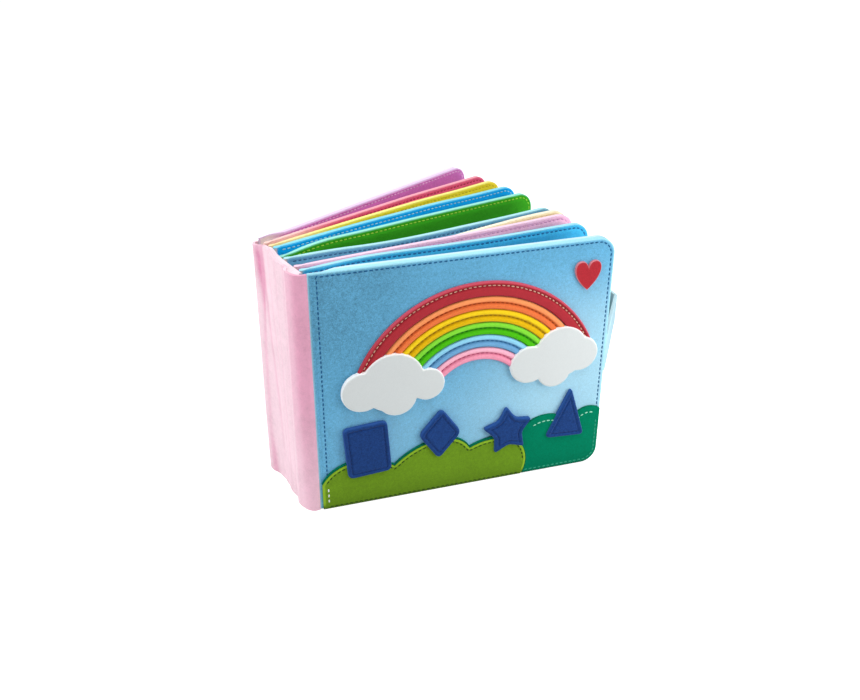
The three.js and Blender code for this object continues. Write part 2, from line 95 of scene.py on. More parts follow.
def hinge_place(joint, angle):
    """Where a leaf stands: on the floor under its joint, turned about the upright."""
    foot = joint_at[joint].copy()
    foot.z = 0
    return Matrix.Translation(foot) @ turned(angle)


front_place = hinge_place("front_cover_open", -COVER_ANGLE)
back_place = hinge_place("back_cover_open", COVER_ANGLE)
page_places = [hinge_place(f"page_{i + 1}_turn", a) for i, a in enumerate(PAGE_ANGLES)]
spine_middle = (front_place.translation + back_place.translation) / 2
spine_place = Matrix.Translation(spine_middle)
print("front hinge", [round(c, 4) for c in front_place.translation])

# %% [markdown]
# ## The camera
# A camera is known by where it stands, which way it looks and how long its lens is. These
# numbers are given against the front cover, because that is the largest flat face in the
# view. The book stands a little below the middle of the frame, so the lens is shifted.

# %% Camera
FRAME_WIDTH, FRAME_HEIGHT = 860, 700
LENS_PIXELS, SENSOR = 1022.58, 36
AXIS_X, AXIS_Y = 426.34, 377.12
EYE = (-109.693, -601.101, 458.04)
yaw, pitch, roll = (math.radians(a) for a in (17.5546, 29.7559, 0.1204))
eye = front_place @ (Vector(EYE) * MM)
ahead = Vector((math.sin(yaw) * math.cos(pitch), math.cos(yaw) * math.cos(pitch),
                -math.sin(pitch)))
across = Vector((math.cos(yaw), -math.sin(yaw), 0))
upward = across.cross(ahead)
level_across = across * math.cos(roll) + upward * math.sin(roll)
level_upward = upward * math.cos(roll) - across * math.sin(roll)
cover_turn = front_place.to_3x3()
axes = Matrix([cover_turn @ a for a in (level_across, level_upward, -ahead)]).transposed()

lens = bpy.data.cameras.new("photo_camera")
lens.sensor_fit = "HORIZONTAL"
lens.sensor_width = SENSOR
lens.lens = LENS_PIXELS * SENSOR / FRAME_WIDTH
lens.shift_x = (FRAME_WIDTH / 2 - AXIS_X) / FRAME_WIDTH
lens.shift_y = (AXIS_Y - FRAME_HEIGHT / 2) / FRAME_WIDTH
lens.clip_start = 0.01
camera = bpy.data.objects.new("photo_camera", lens)
camera.matrix_world = Matrix.Translation(eye) @ axes.to_4x4()
scene.collection.objects.link(camera)
scene.camera = camera
print("camera at", [round(c, 3) for c in eye], "lens", round(lens.lens, 2))

# %% [markdown]
# ## Light, floor and background
# Soft toys are shown in even, bright light. A wide lamp overhead lights the cut edges of the
# leaves most, a small one close to the fore-edge makes the cover paler towards the right, one
# on the left lights the spine, and one behind brightens the back of the fan. The white
# surroundings fill in the rest. The floor glows a little by itself to the camera, so that it
# reads as white paper, and it still darkens where the book keeps the light off it.

# %% Lamps
LAMPS = [
    # name, place, size and power
    ("overhead_lamp", (0.05, -0.5, 1.4), 1.2, 13),
    ("right_lamp", (0.24, -0.42, 0.15), 0.25, 0.85),
    ("left_lamp", (-1.2, 0.25, 0.6), 0.8, 8),
    ("rear_lamp", (-0.3, 0.8, 0.9), 0.8, 5),
]
BOOK_MIDDLE = Vector((0, 0, 0.09))
scene.view_settings.view_transform = "Standard"
bpy.ops.object.select_all(action="DESELECT")
for name, place, size, watts in LAMPS:
    bpy.ops.object.light_add(type="AREA", location=place)
    lamp = bpy.context.object
    lamp.name = name
    lamp.data.shape = "DISK"
    lamp.data.size = size
    lamp.data.energy = watts
    lamp.visible_camera = False
    lamp.rotation_euler = (BOOK_MIDDLE - Vector(place)).to_track_quat("-Z", "Y").to_euler()


# %% Surroundings
def node(tree, kind, inputs, **settings):
    """Adds a shader node. Each input is a socket to link or a value to set."""
    made = tree.nodes.new(f"ShaderNode{kind}")
    for key, value in settings.items():
        setattr(made, key, value)
    for key, value in inputs.items():
        if isinstance(value, bpy.types.NodeSocket):
            tree.links.new(value, made.inputs[key])
        else:
            made.inputs[key].default_value = value
    return made


world = bpy.data.worlds.new("white_room")
scene.world = world
world.use_nodes = True
room = world.node_tree
rays = node(room, "LightPath", {}).outputs
seen = node(room, "Math", {0: rays["Is Camera Ray"], 1: rays["Is Glossy Ray"]},
            operation="MAXIMUM")
strength = node(room, "MapRange", {"Value": seen.outputs[0], "To Min": 0.25, "To Max": 1.0})
glow = room.nodes["Background"]
glow.inputs["Color"].default_value = (1, 1, 1, 1)
room.links.new(strength.outputs["Result"], glow.inputs["Strength"])
print("world", world.name)

# %% Floor
bpy.ops.object.select_all(action="DESELECT")
bpy.ops.mesh.primitive_plane_add(size=6, location=(0, 0, -0.0004))
floor = bpy.context.object
floor.name = "paper_floor"
bpy.ops.object.transform_apply(location=True)
paper = bpy.data.materials.new("white_paper")
paper.use_nodes = True
tree = paper.node_tree
matte = node(tree, "BsdfDiffuse", {"Color": (0.8, 0.8, 0.8, 1)}).outputs[0]
lit = node(tree, "Emission", {"Strength": 0.8}).outputs[0]
both = node(tree, "AddShader", {0: matte, 1: lit}).outputs[0]
to_camera = node(tree, "LightPath", {}).outputs["Is Camera Ray"]
choose = node(tree, "MixShader", {0: to_camera, 1: matte, 2: both})
tree.links.new(choose.outputs[0], tree.nodes["Material Output"].inputs["Surface"])
floor.data.materials.append(paper)
print("floor", floor.name)

# %% [markdown]
# ## Felt
# Felt is pressed fibre. Close up its colour is never one tone: lighter and darker fibres lie
# side by side, and the surface is faintly rough. Three sizes of noise, read from the piece's
# own coordinates, give the fibres, the flecks and the slow change from place to place. The
# tone also changes over a piece, so each mesh carries numbers from 0 to 1 that say where a
# second colour lies over the first: a paler painted highlight on the cut edge (darker, as painted
# shade, on the dark hill), a paler painted sheen, and a third colour that is the binding near the spine on
# some pieces and painted shade on others, as in a groove.


# %% Small node helpers
def linear(code):
    """A colour written as on a web page, as the numbers that a shader works with."""
    parts = [int(code[i:i + 2], 16) / 255 for i in (1, 3, 5)]
    return [p / 12.92 if p <= 0.04045 else ((p + 0.055) / 1.055) ** 2.4 for p in parts] + [1]


def shade(code, share):
    """The same colour made darker or lighter."""
    return [min(1, part * share) for part in linear(code)[:3]] + [1]


def speckle(tree, scale, detail=2.0, twist=0.0):
    where = node(tree, "TexCoord", {}).outputs["Object"]
    return node(tree, "TexNoise", {"Vector": where, "Scale": scale, "Detail": detail,
                                   "Distortion": twist}).outputs["Fac"]


def weigh(tree, parts):
    """A sum of sockets, each with its weight."""
    total = 0.0
    for socket, weight in parts:
        step = node(tree, "Math", {0: socket, 1: weight, 2: total}, operation="MULTIPLY_ADD")
        total = step.outputs[0]
    return total


def tones(tree, factor, stops):
    ramp = node(tree, "ValToRGB", {"Fac": factor})
    band = ramp.color_ramp
    while len(band.elements) < len(stops):
        band.elements.new(0.5)
    for element, (place, colour) in zip(band.elements, stops):
        element.position = place
        element.color = colour
    return ramp.outputs["Color"]


def painted(tree, under, over, number):
    """One colour over another, where the mesh carries the named number."""
    carried = node(tree, "Attribute", {}, attribute_name=number).outputs["Fac"]
    return node(tree, "Mix", {0: carried, 6: under, 7: over}, data_type="RGBA").outputs[2]


def roughen(tree, shader, height, strength, depth, low, high):
    """Bump and roughness from the same fibres."""
    bump = node(tree, "Bump", {"Strength": strength, "Distance": depth, "Height": height})
    spread = node(tree, "MapRange", {"Value": height, "From Min": 0.3, "From Max": 0.7,
                                     "To Min": low, "To Max": high})
    tree.links.new(bump.outputs["Normal"], shader.inputs["Normal"])
    tree.links.new(spread.outputs["Result"], shader.inputs["Roughness"])


def new_finish(name, **values):
    """An empty finish, with some of its shader's values set."""
    finish = bpy.data.materials.new(name)
    finish.use_nodes = True
    shader = finish.node_tree.nodes["Principled BSDF"]
    for key, value in values.items():
        shader.inputs[key.replace("_", " ")].default_value = value
    return finish, finish.node_tree, shader


print("node helpers ready")

# %% Felt and thread
EVEN = 0.055


def felt(name, face, painted_edge_light=None, hem_and_painted_shade=None, nap_and_painted_sheen=None, contrast=0.16, grain=EVEN,
         fuzz=0.08, bump=0.35, gloss=0.08, nap=0.9):
    finish, tree, shader = new_finish(name, Sheen_Weight=fuzz, Sheen_Roughness=0.45,
                                      Specular_IOR_Level=gloss)
    fibres = speckle(tree, 1350, 3.0, 0.4)
    flecks = speckle(tree, 520, 4.0, 0.8)
    drift = speckle(tree, 26)
    mixed = weigh(tree, [(fibres, 0.52), (flecks, 0.36), (drift, 0.12)])
    colour = tones(tree, mixed, [(0.34, shade(face, 1 - contrast)), (0.5, shade(face, 1)),
                                 (0.66, shade(face, 1 + contrast))])
    # Over the face go painted light and shade: the cut edge's painted highlight, a paler painted sheen, and
    # the binding tone near the spine, which on other pieces is painted shade.
    for number, code, spread in (("nap_and_painted_sheen", nap_and_painted_sheen, EVEN), ("hem_and_painted_shade", hem_and_painted_shade, grain),
                                 ("painted_edge_light", painted_edge_light, EVEN)):
        if code:
            over = tones(tree, mixed, [(0.38, shade(code, 1 - spread)),
                                       (0.62, shade(code, 1 + spread))])
            colour = painted(tree, colour, over, number)
    tree.links.new(colour, shader.inputs["Base Color"])
    fur = weigh(tree, [(fibres, 0.55), (flecks, 0.45)])
    roughen(tree, shader, fur, bump, 0.0005, nap - 0.07, nap + 0.07)
    return finish


def thread(name, code):
    finish, tree, shader = new_finish(name, Sheen_Weight=0.04, Specular_IOR_Level=0.12)
    ply = speckle(tree, 2600)
    wear = speckle(tree, 140)
    mixed = weigh(tree, [(ply, 0.6), (wear, 0.4)])
    colour = tones(tree, mixed, [(0.35, shade(code, 0.78)), (0.65, shade(code, 1.15))])
    tree.links.new(colour, shader.inputs["Base Color"])
    roughen(tree, shader, ply, 0.3, 0.0002, 0.6, 0.85)
    return finish


print("felt and thread finishes ready")

# %% [markdown]
# ## Handling pieces
# Blender's operators act on whatever is selected, and the loaded frame is selected at the
# start, so every step begins with nothing selected. A cut piece of felt begins as a circle
# whose points are moved onto the drawn outline, as a template is moved onto cloth.


# %% Pick up and edit
def clear_hands():
    if bpy.context.mode != "OBJECT":
        bpy.ops.object.mode_set(mode="OBJECT")
    bpy.ops.object.select_all(action="DESELECT")


def pick(piece):
    clear_hands()
    piece.select_set(True)
    bpy.context.view_layer.objects.active = piece


def edit(piece):
    """Opens a piece for editing, with all of it selected."""
    pick(piece)
    bpy.ops.object.mode_set(mode="EDIT")
    bpy.ops.mesh.select_all(action="SELECT")


def close_edit():
    bpy.ops.object.mode_set(mode="OBJECT")


def named(piece, name):
    piece.name = name
    piece.data.name = name
    return piece


def copied(piece, name):
    clear_hands()
    twin = piece.copy()
    twin.data = piece.data.copy()
    scene.collection.objects.link(twin)
    return named(twin, name)


def add_modifier(piece, kind, **settings):
    pick(piece)
    modifier = piece.modifiers.new(kind.lower(), kind)
    for key, value in settings.items():
        setattr(modifier, key, value)
    bpy.ops.object.modifier_apply(modifier=modifier.name)


def face_outwards(piece):
    edit(piece)
    bpy.ops.mesh.remove_doubles(threshold=1e-6)
    bpy.ops.mesh.normals_make_consistent(inside=False)
    close_edit()


def points_of(piece):
    """The points of a piece in millimetres."""
    flat = np.zeros(len(piece.data.vertices) * 3)
    piece.data.vertices.foreach_get("co", flat)
    return flat.reshape(-1, 3) / MM


def set_points(piece, points):
    piece.data.vertices.foreach_set("co", (np.asarray(points) * MM).ravel())
    piece.data.update()


def carry_number(piece, name, values):
    attributes = piece.data.attributes
    number = attributes.get(name) or attributes.new(name, "FLOAT", "POINT")
    number.data.foreach_set("value", np.asarray(values, dtype=np.float32))


def put_down(piece, place, body, finish, slot, nodes=(), sharp=40):
    """Sets a finished piece in its place, with its finish, and lets it move with its body."""
    pick(piece)
    piece.matrix_world = place
    bpy.ops.object.transform_apply(location=True, rotation=True, scale=True)
    bpy.ops.object.shade_smooth_by_angle(angle=math.radians(sharp))
    piece.data.materials.clear()
    piece.data.materials.append(finish)
    if body:
        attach(piece, body)
    if nodes:
        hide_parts(*nodes)


print("handling helpers ready")


# %% Cutting felt
def blank(name, outline):
    """A flat piece from its outline in millimetres, as (x, z) or as (x, y, z)."""
    clear_hands()
    bpy.ops.mesh.primitive_circle_add(vertices=len(outline), radius=0.01, fill_type="NGON")
    piece = named(bpy.context.object, name)
    for point, (x, *y, z) in zip(piece.data.vertices, outline):
        point.co = (x * MM, sum(y) * MM, z * MM)
    return piece


def divide(piece, xs=(), zs=()):
    """Straight cuts through a piece at places along x and z."""
    edit(piece)
    cuts = [((x * MM, 0, 0), (1, 0, 0)) for x in xs]
    cuts += [((0, 0, z * MM), (0, 0, 1)) for z in zs]
    for through, facing in cuts:
        bpy.ops.mesh.select_all(action="SELECT")
        bpy.ops.mesh.bisect(plane_co=through, plane_no=facing)
    close_edit()


def cut_felt(name, outline, thick):
    """Flat felt from y = 0 towards the front."""
    piece = blank(name, outline)
    edit(piece)
    bpy.ops.mesh.extrude_region_move(TRANSFORM_OT_translate={"value": (0, -thick * MM, 0)})
    close_edit()
    face_outwards(piece)
    return piece


def select_only(piece, parts, wanted):
    """Selects the edges or faces of a piece for which a test holds."""
    pick(piece)
    for part in (piece.data.vertices, piece.data.edges, piece.data.polygons):
        part.foreach_set("select", [False] * len(part))
    for part in parts:
        part.select = wanted(part)
    bpy.ops.object.mode_set(mode="EDIT")


def round_over(piece, thick, soften, rings=()):
    """Bevels the edges on the front of a flat piece, and lays rings of faces inside them."""
    front = (-thick + 0.05) * MM
    at_front = [v.co.y < front for v in piece.data.vertices]
    select_only(piece, piece.data.edges, lambda e: all(at_front[i] for i in e.vertices))
    bpy.ops.mesh.select_mode(type="EDGE")
    bpy.ops.mesh.bevel(offset=soften * MM, segments=3, profile=0.5, clamp_overlap=True)
    close_edit()
    face_outwards(piece)
    select_only(piece, piece.data.polygons,
                lambda f: f.normal.y < -0.99 and f.center.y < front)
    bpy.ops.mesh.select_mode(type="FACE")
    for width in rings:
        bpy.ops.mesh.inset(thickness=width * MM, use_even_offset=True)
    bpy.ops.mesh.select_mode(type="VERT")
    close_edit()


print("cutting helpers ready")


# %% Lines and levels
def ease(value):
    t = np.clip(value, 0, 1)
    return t * t * (3 - 2 * t)


def wander(x, z, seed, size):
    """Slow unevenness of hand-sewn cloth, between -1 and 1."""
    return np.array([noise.noise(Vector((a / size, b / size, seed))) for a, b in zip(x, z)])


def hollow(distance, width):
    """A soft dip, 1 in its middle."""
    return np.exp(-(distance / width) ** 2)


def round_lip(inside, radius, low):
    """Thickness near a rounded edge: low at the edge and 1 from the radius on."""
    out = 1 - np.minimum(inside / radius, 1)
    return low + (1 - low) * np.sqrt(np.clip(1 - out ** 2, 0, 1))


def level_at(profile, inside):
    """One value of a profile that works on arrays."""
    return float(profile(np.array([inside]))[0])


def lengths_along(line):
    return np.concatenate([[0], np.cumsum(np.linalg.norm(np.diff(line, axis=0), axis=1))])


def arc(x, z, radius, start, end, count):
    angles = np.radians(np.linspace(start, end, count))
    return [(x + radius * math.cos(a), z + radius * math.sin(a)) for a in angles]


CURVE_POINTS = 22


def bezier(points, count=CURVE_POINTS):
    """Points of a curve between two ends with one or two handles, without its first point."""
    t = np.linspace(0, 1, count + 1)[1:, None]
    p = [np.array(q, float) for q in points]
    while len(p) > 1:
        p = [a + (b - a) * t for a, b in zip(p[:-1], p[1:])]
    return [tuple(q) for q in p[0]]


print("line helpers ready")

# %% [markdown]
# ## One stitch, and a seam of them
# A machine stitch shows as a short dash that bites into the felt at both ends. One stitch is
# a small ball pulled long and pressed flat below. A seam is that stitch copied along a line
# at the length of the machine's step, each copy a little different, as thread is.

# %% The stitch
clear_hands()
bpy.ops.mesh.primitive_uv_sphere_add(segments=6, ring_count=5, radius=1)
stitch = named(bpy.context.object, "one_stitch")
edit(stitch)
bpy.ops.transform.rotate(value=math.pi / 2, orient_axis="Y", center_override=(0, 0, 0))
close_edit()
stitch_points = points_of(stitch) * MM
stitch_points[stitch_points[:, 2] < 0, 2] *= 0.5
stitch_points[:, 0] = np.sign(stitch_points[:, 0]) * np.abs(stitch_points[:, 0]) ** 0.7
stitch_faces = [list(face.vertices) for face in stitch.data.polygons]
bpy.data.objects.remove(stitch)
print("stitch faces", len(stitch_faces))


# %% Sewing a line
def sew(name, path, outward, finish, place, body, slot, step=3.7, length=2.6, width=1.1,
        rise=0.5, closed=False):
    """Stitches along a path in millimetres; outward is the side that the thread lies on."""
    line = np.asarray(path, float)
    if closed:
        line = np.vstack([line, line[:1]])
    reach = lengths_along(line)
    count = max(2, int(reach[-1] / step))
    at = (np.arange(count) + 0.5) * reach[-1] / count

    def places(along_line):
        return np.stack([np.interp(along_line, reach, line[:, k]) for k in range(3)], 1)

    middle = places(at)
    along = places(np.minimum(at + 0.5, reach[-1])) - places(np.maximum(at - 0.5, 0))
    along /= np.linalg.norm(along, axis=1, keepdims=True)
    up = np.asarray(outward, float)
    side = np.cross(up, along)
    side /= np.linalg.norm(side, axis=1, keepdims=True)
    hand = random.Random(name)
    points, faces = [], []
    for k in range(count):
        long = length / 2 * hand.uniform(0.92, 1.08)
        forward = along[k] + side[k] * hand.uniform(-0.07, 0.07)
        x, y, z = (stitch_points * (long, width / 2, rise)).T[:, :, None]
        points.append(middle[k] + x * forward + y * side[k] + z * up)
        faces.extend([[i + k * len(stitch_points) for i in face] for face in stitch_faces])
    mesh = bpy.data.meshes.new(name)
    mesh.from_pydata((np.concatenate(points) * MM).tolist(), [], faces)
    seam = bpy.data.objects.new(name, mesh)
    scene.collection.objects.link(seam)
    face_outwards(seam)
    put_down(seam, place, body, finish, slot, sharp=80)


print("sewing ready")

# %% [markdown]
# ## A leaf of padded felt
# A page is two felt sheets round thin wadding, sewn together a few millimetres inside the
# edge. The sheet starts as its outline. Insets lay rings of faces along the edge, where the
# felt rolls over and dips at the seam, and straight cuts divide the rest, so that the face
# can swell. One sheet serves for all pages: each copy only lies a little differently.

# %% Sizes of the leaves
COVER_WIDTH, COVER_HEIGHT, COVER_THICK = 220.0, 188.0, 7.6
COVER_FACE, COVER_BACK, COVER_MIDDLE = 0.9, 6.7, 2.9
CORNER = 13.0
PAGE_RIGHT, PAGE_FOOT, PAGE_HEAD = 218.5, 1.5, 186.5
PAGE_HALF, HEM_HALF, PAGE_BACK = 2.7, 1.75, 0.95
HEM_WIDTH, HEM_SLOPE = 8.0, 9.0
SEAM_IN = 2.8
PAGE_EDGES = (PAGE_RIGHT, PAGE_FOOT, PAGE_HEAD, CORNER)
COVER_EDGES = (COVER_WIDTH, 0, COVER_HEIGHT, CORNER)


def leaf_outline(left, right, foot, head, radius, count=11):
    lower = arc(right - radius, foot + radius, radius, -90, 0, count)
    upper = arc(right - radius, head - radius, radius, 0, 90, count)
    return [(left, foot)] + lower + upper + [(left, head)]


def from_edge(x, z, right, foot, head, radius):
    """How far a point lies inside the three free edges of a leaf, in millimetres."""
    inside = np.minimum(np.minimum(right - x, z - foot), head - z)
    beyond_x = x - (right - radius)
    beyond_z = np.maximum((foot + radius) - z, z - (head - radius))
    corner = (beyond_x > 0) & (beyond_z > 0)
    return np.where(corner, radius - np.hypot(beyond_x, beyond_z), inside)


def border(right, foot, head, radius, left):
    """The line of a seam round the three free sides of a leaf, in short steps."""
    ring = leaf_outline(left, right - SEAM_IN, foot + SEAM_IN, head - SEAM_IN,
                        radius - SEAM_IN, 9)
    line = [ring[0]]
    for (x0, z0), (x1, z1) in zip(ring[:-1], ring[1:]):
        count = max(1, int(math.hypot(x1 - x0, z1 - z0) / 3))
        line += [(x0 + (x1 - x0) * k / count, z0 + (z1 - z0) * k / count)
                 for k in range(1, count + 1)]
    return line


print("page", PAGE_RIGHT, "by", PAGE_HEAD - PAGE_FOOT, "mm")

# %% Cutting and dividing a sheet
EDGE_RINGS = (0.4, 0.6, 0.7, 0.6, 0.5, 0.5, 0.7, 1.2, 1.8, 2.4)
HINGE_CUTS = (0.8, 1.8, 3.2, 5.6)


def divided_sheet(name, left, right, foot, head, radius):
    """A closed flat sheet with rings along its edges; its outer side is at y below zero."""
    sheet = blank(name, leaf_outline(left, right, foot, head, radius))
    edit(sheet)
    for width in EDGE_RINGS:
        bpy.ops.mesh.inset(thickness=width * MM, use_even_offset=True)
    close_edit()
    near_hinge = [left + x for x in HINGE_CUTS]
    divide(sheet, near_hinge + list(np.arange(left + 9.5, right - 9, 9.6)),
           np.arange(foot + 9.5, head - 9, 9.4))
    add_modifier(sheet, "SOLIDIFY", thickness=1 * MM, offset=0)
    face_outwards(sheet)
    return sheet


page_blank = divided_sheet("page_blank", -PAGE_BACK, *PAGE_EDGES)
print("page sheet points", len(page_blank.data.vertices))

# %% [markdown]
# ## Blowing up the wadding
# Wadding pushes the felt out everywhere except where it is sewn. The sheet is copied, its
# points at the edge, seam and hem are pinned, and Blender's cloth is inflated for twenty
# frames. How far each point moved is eased to a small limit and kept as the swell of the pad.

# %% Simulated swell of a page
SWELL_LIMIT = 0.55
SWELL_FRAMES = 20


def simulated_swell(sheet, pinned_share):
    """How far each point of a flat sheet swells, from 0 to 1, by a pressure simulation."""
    pad = copied(sheet, "page_pad")
    pick(pad)
    pins = pad.vertex_groups.new(name="sewn")
    for index, share in enumerate(pinned_share):
        pins.add([index], float(share), "REPLACE")
    start = points_of(pad)
    cloth = pad.modifiers.new("wadding", "CLOTH")
    cloth.settings.quality = 5
    cloth.settings.mass = 0.2
    cloth.settings.vertex_group_mass = "sewn"
    cloth.settings.use_pressure = True
    cloth.settings.uniform_pressure_force = 4
    cloth.settings.effector_weights.gravity = 0
    cloth.collision_settings.use_collision = False
    cloth.point_cache.frame_end = SWELL_FRAMES
    for step in range(1, SWELL_FRAMES + 1):
        scene.frame_set(step)
    bpy.ops.object.modifier_apply(modifier="wadding")
    moved = np.abs(points_of(pad) - start)[:, 1]
    bpy.data.objects.remove(pad)
    scene.frame_set(1)
    return np.tanh(moved / max(np.percentile(moved, 90), 1e-3) * 1.4)


flat_points = points_of(page_blank)
page_inside = from_edge(flat_points[:, 0], flat_points[:, 2], *PAGE_EDGES)
held_by_seam = 1 - ease((page_inside - SEAM_IN) / 3)
held_by_hem = 1 - ease((flat_points[:, 0] - HEM_WIDTH) / HEM_SLOPE)
held = np.maximum(held_by_seam, held_by_hem)
page_swell = simulated_swell(page_blank, held)
print("page swell", round(float(page_swell.mean()), 3), "to", round(float(page_swell.max()), 3))

# %% [markdown]
# ## The form of a page
# Used pages aren't flat or alike. Their shoulders are rounder than a cover's, their upper
# edge rises and sinks, the upper fore-edge corner is pulled out a little, and the cut edge of
# the rear pages is worn to a pale peach near the spine. Each page has its own share of these.


# %% Thickness of a page sheet
def seam_groove(inside):
    return 0.42 * hollow(inside - SEAM_IN, 0.75)


def edge_roll(inside):
    """The felt of a cover is thinner at its cut edge and dips at the seam."""
    return -0.7 * (1 - ease(inside / 1.7)) - seam_groove(inside)


def page_roll(inside):
    """A page is softer than a cover, so its shoulders are rounder."""
    shoulder = 0.5 * (1 - ease(inside / 1.4)) + 0.7 * (1 - ease(inside / 5.5))
    return -shoulder - seam_groove(inside)


def page_half(x):
    """Half of a page's thickness: round at the hinge, slim at the hem, then padded."""
    slim = HEM_HALF + (PAGE_HALF - HEM_HALF) * ease((x - 1) / 13)
    return slim * np.sqrt(np.clip(1 - (np.maximum(1.2 - x, 0) / 2.15) ** 2, 0, 1))


def waved(x, z, wave):
    """The upper edge of a soft page rises or sinks, by so much at such places along it."""
    places, rises = zip(*wave)
    lift = sum(np.interp(x + aside, places, rises) for aside in (-12, -6, 0, 6, 12)) / 5
    return z + lift * ease((z - 60) / (PAGE_HEAD - 60))


def stretched(x, z, reach):
    """The upper corner of a used page is pulled out a little, above the strap."""
    return x + reach * ease((z - 114) / 36) * ease((x - 140) / 70)


def page_sheet(name, side, seed, wave, reach, worn):
    """A page sheet with its own unevenness; side is -1 for the front of the leaf."""
    sheet = copied(page_blank, name)
    x, y, z = flat_points.T
    outer = y < 0
    uneven = 0.22 * wander(x, z, seed, 38) + 0.1 * wander(x, z, seed + 7, 13)
    top = page_half(x) + page_roll(page_inside) * ease((x - 1) / 4)
    top = top + page_swell * (SWELL_LIMIT * 0.5 + uneven)
    level = side * np.where(outer, np.maximum(top, 0.5), 0.03)
    set_points(sheet, np.stack([stretched(x, z, reach), level, waved(x, z, wave)], 1))
    # The cut edge is painted paler, as the highlight of an upper edge lit from above.
    painted_edge_light = np.where(outer, 1 - ease((page_inside - 0.1) / 0.6), 1)
    near_spine = worn * (1 - ease((x - 20) / 40))
    worn_part = np.maximum(painted_edge_light, 0.8 * ease((z - 168) / 12))
    carry_number(sheet, "painted_edge_light", painted_edge_light * (1 - near_spine))
    carry_number(sheet, "hem_and_painted_shade", np.maximum(1 - ease((x + 0.2) / 1.6), worn_part * near_spine))
    face_outwards(sheet)
    return sheet


print("pages will be", 2 * PAGE_HALF, "mm thick")

# %% [markdown]
# ## The eight pages
# Each page has a strong colour on the side that faces the front cover and a paler one behind.
# The cut edge is painted paler, as a highlight where it catches the light from above. The seam
# runs round the three free sides, and its thread is lighter or darker than the page.

# %% Colours and forms of the pages
HEM_COLOUR = "#f6d6ca"
PAGES = [
    # front, edge with its painted highlight, back and thread; wear, reach of the corner; rises along the
    # upper edge
    (("#46beec", "#a6e6f6", "#9fd8ec", "#2a6fa6"), 0, 1.5,
     [(0, 0.3), (40, 2.7), (70, 2.1), (105, 0.7), (140, 0)]),
    (("#ffc2de", "#fbd6ea", "#f3dcea", "#eeaad2"), 0, 2.5,
     [(0, 0.5), (60, 0), (105, -0.6), (175, -0.7), (218, 0)]),
    (("#fff2c0", "#fff6dc", "#fbeccb", "#e6cf92"), 0, 4, [(110, -5.5), (185, 0)]),
    (("#64a6d0", "#b0e6ee", "#a9dce6", "#3f6f9c"), 0, 0.5,
     [(0, 0.8), (36, 0), (70, -2.4), (105, -2.8), (140, -2.1), (175, -1.6), (218, 0)]),
    (("#3aa41e", "#9be8d8", "#8fd6d0", "#9ad440"), 0, 4,
     [(0, -1.5), (30, 3.4), (70, 2.4), (110, 2.2), (150, 1.5), (218, 0)]),
    (("#08aaf6", "#8ae0f6", "#9fdcf0", "#9fdcf6"), 0, 4,
     [(0, 3.2), (70, 3.6), (105, 3), (140, 2.8), (175, 0.8), (218, 0)]),
    (("#ffdc34", "#fdf08a", "#f4e49a", "#ecc62c"), 0.65, 3,
     [(0, 1.8), (70, 2), (140, 1.7), (175, 0.4), (218, 0)]),
    (("#e45e8a", "#f8a8b8", "#f0a9b0", "#bc4068"), 0.9, 3,
     [(0, 1.2), (70, 1.4), (140, 1.5), (200, 0)]),
]
print("page colours", len(PAGES))

# %% Make the pages
seam_dip = level_at(page_roll, SEAM_IN) + 0.06
page_line = np.array(border(*PAGE_EDGES, 4.5)).T
seam_level = page_half(page_line[0]) + seam_dip * ease((page_line[0] - 1) / 4)
for index, ((front, edge, back, yarn), worn, reach, wave) in enumerate(PAGES):
    body, place = f"page_{index + 1}", page_places[index]
    yarn_finish = thread(f"{body}_thread", yarn)
    for side, word, code in ((-1, "front", front), (1, "back", back)):
        solid = f"{body}_{word}"
        slot = f"{solid}_felt"
        sheet = page_sheet(slot, side, 3.1 * index + 1.7 * side, wave, reach, worn)
        finish = felt(f"{solid}_finish", code, painted_edge_light=edge, hem_and_painted_shade=HEM_COLOUR)
        put_down(sheet, place, body, finish, slot, [solid])
        path = np.stack([stretched(*page_line, reach), side * seam_level,
                         waved(*page_line, wave)], 1)
        sew(f"{solid}_seam", path, (0, side, 0), yarn_finish, place, body, slot)
bpy.data.objects.remove(page_blank)
print("pages made", len(PAGES))

# %% [markdown]
# ## The covers
# A cover is thicker than a page. Its outer felt runs flat to the hinge and is sewn all round,
# and the lining lies behind it, thin at the spine and padded further out. The front cover is
# sky blue, darkened by painted shade at the upper left and made paler by a painted sheen towards
# the fore-edge and low down. The back cover is lavender, with a purple lining that turns pale pink where it
# meets the spine.


